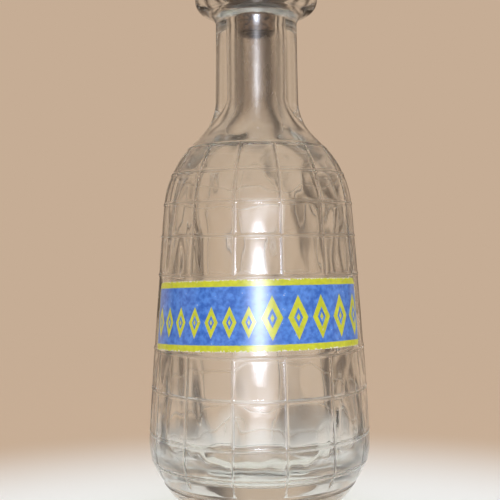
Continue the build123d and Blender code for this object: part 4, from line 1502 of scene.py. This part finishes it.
@dataclass
class Stopper(MetalWork):
    """What lifts out of the neck: cork, tubes, drip dish, stem and the pouring bowl with its beak."""

    body: Body = Body.STOPPER
    cork: float = 8.44  # radius
    cork_low: float = 204.8
    washer: Point = (8.05, 0.8)  # radius and thickness
    hole: float = 4.13  # radius of the hole in cork and stem that the pour tube passes
    close_hole: float = 4.12  # the same in washer and dish
    tube: Point = (3.4, 4.1)  # inner and outer radius of the pour tube
    lip: Point = (4.9, 0.6)  # radius and thickness of the lip that it has under the washer
    tube_high: float = 224.7
    vent: Point = (0.8, 1.1)  # inner and outer radius of the air tube
    vent_off: float = 6.5  # how far it stands from the axis
    vent_high: float = 218.8
    seal: Point3 = (20.6, 24.0, 0.8)  # inner and outer radius and thickness of the rubber ring
    dish: float = 215.8  # height of the dish's underside, on the cork
    flange: float = 229.8  # height of its flange's underside
    flange_edge: float = 24.0  # radius
    sheet: float = 1.0  # thickness of the dish and the bowl
    stem: Point = (6.0, 5.1)  # radius at its foot and above it
    stem_high: float = 240.8
    bowl_foot: float = 7.0  # radius where the bowl stands on the stem
    bowl: float = 17.0  # radius
    bead: float = 0.8  # radius of the wire round the bowl
    bracket: Point = (5.4, 18.6)  # half the width of the bracket, and where its back is
    bracket_low: float = 247.1
    eye_gap: float = 2.6  # half the gap between its two knuckles
    beak: tuple[Point3, Point3] = ((-14.0, 17.0, 10.0), (-31.0, 5.2, 2.8))  # x, width and depth of its ends
    pore_rate: Point3 = (0.6, 0.6, 0.45)  # pores in a millimetre of cork, along each axis
    pore_edge: float = 0.18  # of the noise, where a pore starts
    pore_slope: float = 1.6  # millimetres of depth for each 1 of the noise beyond that
    pore_depth: float = 0.45  # at most

    def build_cork(self, cork: Material, rubber: Material) -> None:
        """Cork with pitted sides, its washer, the two tubes and the rubber ring under the dish.

        Args:
            cork: the cork's finish.
            rubber: the ring's finish.
        """
        low, high, side = self.cork_low, self.dish, 8.2  # the sides start beyond this radius
        flank = path((self.cork, low + 0.7), ((self.cork, high - 0.2), 0.0, 40))
        outline = [(self.hole, low), (7.7, low), (side, low + 0.2), *flank, (side, high), (self.hole, high)]
        piece = lathe("stopper_cork", outline, angles(120), closed=True)
        for vertex in piece.data.vertices:
            spot = vertex.co / MM
            radius = math.hypot(spot.x, spot.y)
            if radius > side:
                drawn = Vector(c * rate for c, rate in zip(spot, self.pore_rate))
                pit = max(0.0, noise.noise(drawn) - self.pore_edge) * self.pore_slope
                keep = 1.0 - min(self.pore_depth, pit) / radius
                vertex.co.x *= keep
                vertex.co.y *= keep
        dress(piece, cork, Body.STOPPER, Slot.CORK, "cork")

        (radius, thickness), hole = self.washer, self.close_hole
        under = low - thickness
        washer = [(hole, under), (radius, under), (radius, low), (hole, low)]
        self.turned("cork_washer_disc", "cork_washer", washer, 96, 0.25)
        (inner, outer), (lip, thickness), top = self.tube, self.lip, self.tube_high
        end = under - thickness
        tube = [(inner, end), (lip, end), (lip, under), (outer, under), (outer, top), (inner, top)]
        self.turned("pour_tube_drawn", "pour_tube", tube, 64, 0.2)
        (inner, outer), top = self.vent, self.vent_high
        vent = [(inner, under), (outer, under), (outer, top), (inner, top)]
        self.turned("vent_tube_drawn", "vent_tube", vent, 32, 0.1, centre=(self.vent_off, 0.0, 0.0))
        (inner, outer, thickness), top = self.seal, self.flange
        base, chamfer = top - thickness, outer - 0.1
        ring = [(inner, base), (chamfer, base), (outer, base + thickness / 2), (chamfer, top), (inner, top)]
        piece = lathe("rim_seal", soften(ring, 0.3, closed=True), angles(128), closed=True)
        dress(piece, rubber, Body.STOPPER, Slot.RUBBER, "rim_gasket")

    def build_dish(self) -> None:
        """Spun drip dish whose flange covers the rim, with a turned groove."""
        low, top = self.flange, self.flange + self.sheet
        hole, under, floor = self.close_hole, self.dish, self.dish + self.sheet
        rim, chamfer = self.flange_edge, self.flange_edge - 0.3
        outer = [(hole, under), *path((9.5, under), ((13.5, under + 3.2), 0.7, 8)), (19.2, low)]
        edge = [(chamfer, low), (rim, low + 0.25), (rim, top - 0.25), (chamfer, top)]
        groove = [(22.9, top), (22.7, top - 0.2), (22.4, top - 0.2), (22.2, top)]
        slope = [(18.9, top), (18.3, top - 0.5)]
        inner = [*path((12.6, floor + 2.8), ((9.0, floor), -0.7, 8)), (hole, floor)]
        section = outer + edge + groove + slope + inner
        self.turned("drip_dish_spun", "drip_dish", section, self.fine, sharp=30.0)

    def build_stem(self) -> None:
        """Turned stem with a soldered foot and a round knop below the bowl."""
        low, high, step = self.dish + self.sheet, self.stem_high, self.tube_high + 0.1
        spread, waist = self.stem
        foot = path((spread, low), ((waist, low + 1.1), -0.25, 5))
        flare = path((waist, high - 9.0), ((self.bowl_foot, high), -0.3, 12))
        inside = [(self.tube[0], high), (self.tube[0], step), (self.hole, step)]
        self.turned("stem_turned", "stem", [(self.hole, low), *foot, *flare, *inside], 72)
        self.turned("stem_knop_ring", "stem_knop", oval((5.7, high - 3.2), 1.7, 1.6, angles(28)), 96)

    def half_oval(self, share: float, inset: float, top: float, steps: int = 24) -> list[Point3]:
        """One section of the beak, from one upper edge down and round to the other.

        Args:
            share: 0 at its root, 1 at its tip; more runs past the tip.
            inset: how far inside the outer surface, in millimetres.
            top: how far above the seat its upper edges end.
            steps: pieces along the curve.

        Returns:
            The points of the section.
        """
        x, width, depth = (a + (b - a) * share for a, b in zip(*self.beak))
        turns = [math.pi * i / steps for i in range(steps + 1)]
        curve = [(x, y, z) for y, z in oval((0.0, self.seat), width / 2 - inset, inset - depth, turns)]
        if top:
            curve = [(x, curve[0][1], self.seat + top)] + curve + [(x, curve[-1][1], self.seat + top)]
        return curve

    def beak_block(self, inset: float) -> Object:
        """A solid of the beak's shape, to cut with.

        Args:
            inset: how far inside the beak's outer surface.

        Returns:
            The solid, which reaches past the beak's ends and above its edges.
        """
        return solid("cutter", *(self.half_oval(share, inset, 2.0) for share in (-0.02, 1.1)))

    def build_bowl(self) -> None:
        """Spun bowl with a wire round its edge; the beak's mouth is cut through both."""
        low, seat, outside, inside = self.stem_high, self.seat, self.bowl, self.bowl - self.sheet
        side = ((outside, low + 6.0), 1.3, 14)
        outer = path((self.bowl_foot, low), side, ((outside, seat - 0.2), 0.0, 6))
        edge = [(outside - 0.2, seat), (inside + 0.2, seat), (inside, seat - 0.2)]
        floor = low + self.sheet
        inner = path((inside, low + 6.6), ((6.6, floor), -1.3, 14))
        outline = [(self.tube[0], low), *outer, *edge, *inner, (self.tube[0], floor)]
        bowl = lathe("pouring_bowl_spun", outline, angles(self.fine), closed=True)
        cut(bowl, self.beak_block(self.sheet))
        self.dressed(bowl, "pouring_bowl")
        wire = oval((outside, seat - 1.1), self.bead, self.bead, angles(16))
        bead = lathe("bowl_edge_bead", wire, angles(self.fine), closed=True)
        cut(bead, self.beak_block(0.3))
        self.dressed(bead, "rim_bead")

    def build_beak(self) -> None:
        """Folded beak soldered to the bowl, whose inside is cut clear of it."""
        vertices: list[Point3] = []
        loops, edge = 13, self.seat - 0.28  # the outer fold ends a little below the seat
        for i in range(loops):
            share = i / (loops - 1)
            vertices += [(x, y, min(z, edge)) for x, y, z in self.half_oval(share, 0.0, 0.0)]
            vertices += reversed(self.half_oval(share, self.sheet, 0.0))
        size = len(vertices) // loops
        faces: list[Sequence[int]] = []
        for i in range(loops - 1):
            for j in range(size):
                k = (j + 1) % size
                faces.append((i * size + j, i * size + k, (i + 1) * size + k, (i + 1) * size + j))
        for end in (0, (loops - 1) * size):
            for j in range(size // 2 - 1):
                faces.append((end + j, end + j + 1, end + size - 2 - j, end + size - 1 - j))
        beak = mesh_object("pouring_beak", vertices, faces, sharp=50.0)
        clear, low, high = self.bowl - 0.5, self.seat - 25.0, self.seat + 15.0
        room = [(0.0, low), (clear, low), (clear, high), (0.0, high)]
        cut(beak, lathe("cutter", room, angles(self.fine)))
        self.dressed(beak, "spout_beak")

    def build_hinge(self) -> None:
        """Bracket with two knuckles, riveted to the bowl, and the pin through them."""
        (half, back), low = self.bracket, self.bracket_low
        root = math.sqrt(self.bowl**2 - half * half)
        plate = [(back, -half), (back, half), *path((root, half), ((root, -half), -0.88, 10))]
        eye = oval(self.hinge, self.knuckle, self.knuckle, sweep(-28.0, 6.0, 32))
        arm = [(self.bowl, low), (back, low), *eye, (self.bowl, low + 4.2)]
        pieces = [prism("plate", plate, low, low + 5.4, 0.25)]
        sides = ((-half, -self.eye_gap), (self.eye_gap, half))
        pieces += [prism("arm", arm, *ends, 0.3, standing=True) for ends in sides]
        self.dressed(join("hinge_bracket_pressed", pieces), "hinge_bracket")
        spots = [(x, 0.0, low + up) for x in (back - 0.05, self.bowl - self.sheet) for up in (1.3, 4.1)]
        heads = rivet_heads("bracket_rivet_heads", spots, (1.0, 0.0, 0.0), (1.15, 0.6), self.metal)
        self.dressed(heads, "bracket_rivets")
        radius, reach = self.pin
        head = [(0.0, -reach), *path((1.0, -reach), ((1.7, -half), 0.2, 4)), (radius, -half)]
        pin = head + [(away, -y) for away, y in reversed(head)]
        x, z = self.hinge
        piece = lathe("hinge_pin_peened", pin, angles(32), centre=(x, 0.0, z), sideways=True)
        self.dressed(piece, "hinge_pin")


@dataclass
class Lid(MetalWork):
    """Domed lid with a beak-shaped tip, a hinge strap, a thumb lever and a ball finial."""

    body: Body = Body.LID
    plate: float = 1.2  # thickness
    edge: float = 18.2  # radius
    dome: float = 12.4  # radius
    dome_high: float = 262.0
    crown: float = 3.6  # radius of the flat on top of the dome
    tip: Point = (-29.5, 3.8)  # place and radius of the tip
    grown: Point = (13.0, 17.2)  # radii between which the round plate turns into the lid's outline
    strap: float = 1.0  # thickness
    sleeve: float = 2.3  # half the length of its knuckle
    lever: Point3 = (8.0, 7.6, 1.6)  # its end beyond the pin and above it, and its thickness
    pad_lean: float = -40.0  # degrees
    pad: Point = (3.5, 5.5)  # half the pad's length and width
    ribs: tuple[int, float, float] = (5, 4.4, 0.42)  # their number, the length of the row, their radius
    stud: float = 1.2  # radius
    ball: float = 3.5  # radius
    nut: float = 2.655  # radius over its corners

    def reach(self, angle: float) -> float:
        """How far the lid's outline is from its centre.

        Args:
            angle: the direction, in radians.

        Returns:
            The distance in millimetres.
        """
        x, radius = self.tip
        away = math.pi - abs((angle + math.pi) % TURN - math.pi)
        far = abs(x)
        lean = math.acos((self.edge - radius) / far)  # where the straight side leaves the round edge
        corner = math.atan2(radius * math.sin(lean), far + radius * math.cos(lean))
        if away >= lean:
            return self.edge
        if away <= corner:
            return far * math.cos(away) + math.sqrt(radius**2 - (far * math.sin(away)) ** 2)
        return self.edge / math.cos(away - lean)

    def stretch(self, radius: float, angle: float) -> float:
        """Moves a point of the round plate out to the lid's outline.

        Args:
            radius: the point's radius on the round plate.
            angle: its direction, in radians.

        Returns:
            Its radius on the lid.
        """
        start, end = self.grown
        share = max(0.0, min(1.0, (radius - start) / (end - start)))
        return radius + (self.reach(angle) - self.edge) * share

    def build_shell(self) -> None:
        """Plate and dome in one sheet, hollow below, with a rolled edge and a turned step."""
        low, top, high = self.seat, self.seat + self.plate, self.dome_high
        dome = path((self.crown, high), ((self.dome, top), 1.1, 16))[:-1]
        step = [(12.5, top + 0.25), (12.9, top), (15.0, top)]
        rim = [(17.5, top), (18.0, top - 0.15), (self.edge, top - 0.55), (18.1, low + 0.2), (17.7, low)]
        inside, under = self.dome - 1.0, high - 1.0
        hollow = path((inside, low + 0.6), ((self.crown, under), -1.1, 12))
        outline = [(0.0, high), *dome, *step, *rim, (15.0, low), (inside, low), *hollow, (0.0, under)]
        columns = sorted(angle % TURN for angle in sweep(169.2, 0.6, 37) + sweep(-168.0, 3.0, 113))
        self.dressed(lathe("lid_plate_and_dome", outline, columns, stretch=self.stretch), "lid_shell")

    def build_strap(self) -> None:
        """Hinge strap riveted to the lid, with its knuckle."""
        low = self.seat + self.plate
        high = low + self.strap
        half, (x, z) = self.sleeve, self.hinge
        side = [(20.2, half), (18.8, half), (17.2, 4.2), (16.0, 7.4), (12.9, 7.4)]
        outline = soften([(a, -b) for a, b in reversed(side)] + side, 1.1, closed=True)
        inner, outer = self.pin[0] + 0.05, self.knuckle
        sleeve = soften([(inner, -half), (outer, -half), (outer, half), (inner, half)], 0.25, closed=True)
        knuckle = lathe("knuckle", sleeve, angles(48), closed=True, centre=(x, 0.0, z), sideways=True)
        piece = join("hinge_strap_and_knuckle", [prism("strap", outline, low, high, 0.2), knuckle])
        self.dressed(piece, "lid_strap")
        spots = [(15.5, -5.0, high), (15.5, 5.0, high)]
        heads = rivet_heads("strap_rivet_heads", spots, (0.0, 0.0, 1.0), (1.2, 0.6), self.metal)
        self.dressed(heads, "strap_rivets")

    def build_lever(self) -> None:
        """Curved thumb lever with an oval, ribbed pad."""
        (x, z), (out, up, thickness) = self.hinge, self.lever
        front = path((x + 3.2, z), ((x + out, z + up), 1.1, 10))
        back = [(a - thickness, b) for a, b in reversed(front)]
        arm = prism("lever", front + back, -2.0, 2.0, 0.35, standing=True)
        tilt = Matrix.Rotation(math.radians(self.pad_lean), 4, "Y")
        frame = Matrix.Translation(Vector((x + out - thickness / 2, 0.0, z + up)) * MM) @ tilt
        section = [(0.0, 0.0), (0.8, 0.0), (0.97, 0.3), (1.0, 0.8), (0.95, 1.3), (0.8, 1.6), (0.5, 1.42)]
        pad = lathe("pad", [*section, (0.0, 1.3)], angles(64))
        half_length, half_width = self.pad
        pad.data.transform(frame @ Matrix.Diagonal((half_length, half_width, 1.0, 1.0)))
        place = frame @ Matrix.Translation(Vector((0.0, 0.0, 1.35)) * MM)
        number, row, radius = self.ribs
        ribs = grip_ribs("ribs", place, number, row, 2 * half_width, radius, self.metal)
        self.dressed(join("thumb_lever_with_pad", [arm, pad, ribs]), "thumb_lever")

    def build_finial(self) -> None:
        """Ball finial on a turned neck, its stud through the dome and the nut that holds it."""
        low, foot, neck = 259.2, self.dome_high, self.dome_high + 2.2
        stud = [(0.0, low), (self.stud - 0.2, low), (self.stud, low + 0.2), (self.stud, foot)]
        collar = path((2.7, foot), ((2.6, foot + 0.9), 0.4, 5), ((1.5, neck), -0.35, 6))
        ball = oval((0.0, foot + 5.3), self.ball, self.ball, sweep(-64.6, 5.15, 30))
        outline = [*stud, *collar, *ball, (0.0, foot + 5.3 + self.ball)]
        self.dressed(lathe("ball_finial", outline, angles(64)), "lid_finial")
        corners = oval((0.0, 0.0), self.nut, self.nut, angles(6))
        self.dressed(prism("finial_hex_nut", corners, low, foot - 1.0, 0.25), "finial_nut")


@dataclass
class Studio:
    """Pale board, plain walls, a soft lamp beyond the camera and a very soft sun above, in metres."""

    walls: Surroundings = Surroundings()
    fill: float = 0.5  # strength of the even light
    fill_colour: str = "FFFAF2"
    lamp_watts: float = 72.0
    lamp_colour: str = "E6EEFF"
    lamp_place: Point3 = (0.02, -1.5, 0.2)
    lamp_aim: Point3 = (0.0, 0.0, 0.12)
    lamp_size: Point = (0.9, 0.7)
    sun: float = 1.6  # strength
    sun_spread: float = 80.0  # degrees
    sun_lean: Point = (-12.0, 8.0)  # degrees about X and Y
    board: tuple[float, ...] = (400.0, 1500.0, 3000.0)  # mm, radii of the board's rings
    board_thick: float = 10.0  # mm
    lens: float = 62.86  # mm
    sensor: float = 36.0  # mm, its width
    shift: Point = (-0.0161, -0.02)
    camera_place: Point3 = (0.0, -0.384, 0.11483)
    camera_lean: float = -0.51  # degrees

    def build_camera(self) -> None:
        """Level camera at the height of the bottle's waist, leaning half a degree."""
        data = bpy.data.cameras.new("camera")
        data.lens = self.lens
        data.sensor_width = self.sensor
        data.shift_x, data.shift_y = self.shift
        data.clip_start = 0.01
        camera = new_object("camera", data)
        level = Matrix.Translation(self.camera_place) @ Matrix.Rotation(math.pi / 2, 4, "X")
        camera.matrix_world = level @ Matrix.Rotation(math.radians(self.camera_lean), 4, "Z")
        bpy.context.scene.camera = camera

    def build_board(self, board: Material) -> None:
        """Round floor, wide enough to meet the walls.

        Args:
            board: its finish.
        """
        low = -self.board_thick
        top = [(radius, 0.0) for radius in (0.0, *self.board)]
        outline = [*top, (self.board[-1], low), (0.0, low)]
        floor = lathe("painted_board", outline, angles(96))
        floor.data.materials.append(board)

    def build_sky(self) -> None:
        """The walls for sight, and even fill light."""
        world = bpy.data.worlds.new("studio_surroundings")
        bpy.context.scene.world = world
        world.use_nodes = True
        tree = world.node_tree
        tree.nodes.clear()
        node = partial(add_node, tree)
        direction = node(COORDINATES).outputs["Generated"]
        shown = node("ShaderNodeBackground", self.walls.colour(tree, direction), 1.0)
        light = node("ShaderNodeBackground", linear(self.fill_colour), self.fill)
        node("ShaderNodeOutputWorld", node("ShaderNodeMixShader", self.walls.seen(tree), light, shown))

    def build_lamp(self) -> None:
        """Broad lamp beyond the camera, brightest in its middle and fading out to its edge."""
        data = bpy.data.lights.new("front_lamp", "AREA")
        data.shape = "RECTANGLE"
        data.size, data.size_y = self.lamp_size
        data.energy = self.lamp_watts
        data.use_nodes = True
        data.node_tree.nodes.clear()
        node = partial(add_node, data.node_tree)
        spot = node("ShaderNodeNewGeometry").outputs["Parametric"]
        off = node(VECTOR, spot, (0.5, 0.5, 0.0), operation="DISTANCE").outputs["Value"]
        share = node(Sum.POWER, node(RANGE, off, 0.5, 0.0, interpolation_type="SMOOTHSTEP"), 2.0)
        node("ShaderNodeOutputLight", node("ShaderNodeEmission", linear(self.lamp_colour), share))
        lamp = new_object("front_lamp", data)
        lamp.location = self.lamp_place
        view = Vector(self.lamp_aim) - Vector(self.lamp_place)
        lamp.rotation_euler = view.to_track_quat("-Z", "Y").to_euler()
        lamp.visible_camera = lamp.visible_transmission = False

    def build_sun(self) -> None:
        """Very soft sun, nearly straight above."""
        data = bpy.data.lights.new("overcast_sun", "SUN")
        data.energy = self.sun
        data.angle = math.radians(self.sun_spread)
        sun = new_object("overcast_sun", data)
        sun.rotation_euler = (*map(math.radians, self.sun_lean), 0.0)
        sun.visible_glossy = sun.visible_transmission = False


def main() -> None:
    """Builds the carafe around its CAD frame, piece by piece."""
    logging.basicConfig(level=logging.INFO, format="%(message)s")
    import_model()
    scene = bpy.context.scene
    scene.view_settings.view_transform = "Standard"
    paths = scene.cycles  # the thick base sends light round many times before it comes out
    paths.max_bounces = paths.transmission_bounces = paths.transparent_max_bounces = 24
    paths.glossy_bounces = 16
    studio = Studio()
    studio.build_camera()
    studio.build_board(PaintedBoard().material())
    studio.build_sky()
    studio.build_lamp()
    studio.build_sun()
    bottle = Bottle()
    bottle.build(PressedGlass().material())
    Label().build(bottle, CoatedPaper().material())
    metal = NickelPlate().material()
    stopper = Stopper(metal)
    stopper.build_cork(StopperCork().material(), SealRubber().material())
    lid = Lid(metal)
    for build in (
        stopper.build_dish,
        stopper.build_stem,
        stopper.build_bowl,
        stopper.build_beak,
        stopper.build_hinge,
        lid.build_shell,
        lid.build_strap,
        lid.build_lever,
        lid.build_finial,
    ):
        build()


if __name__ == "__main__":
    main()
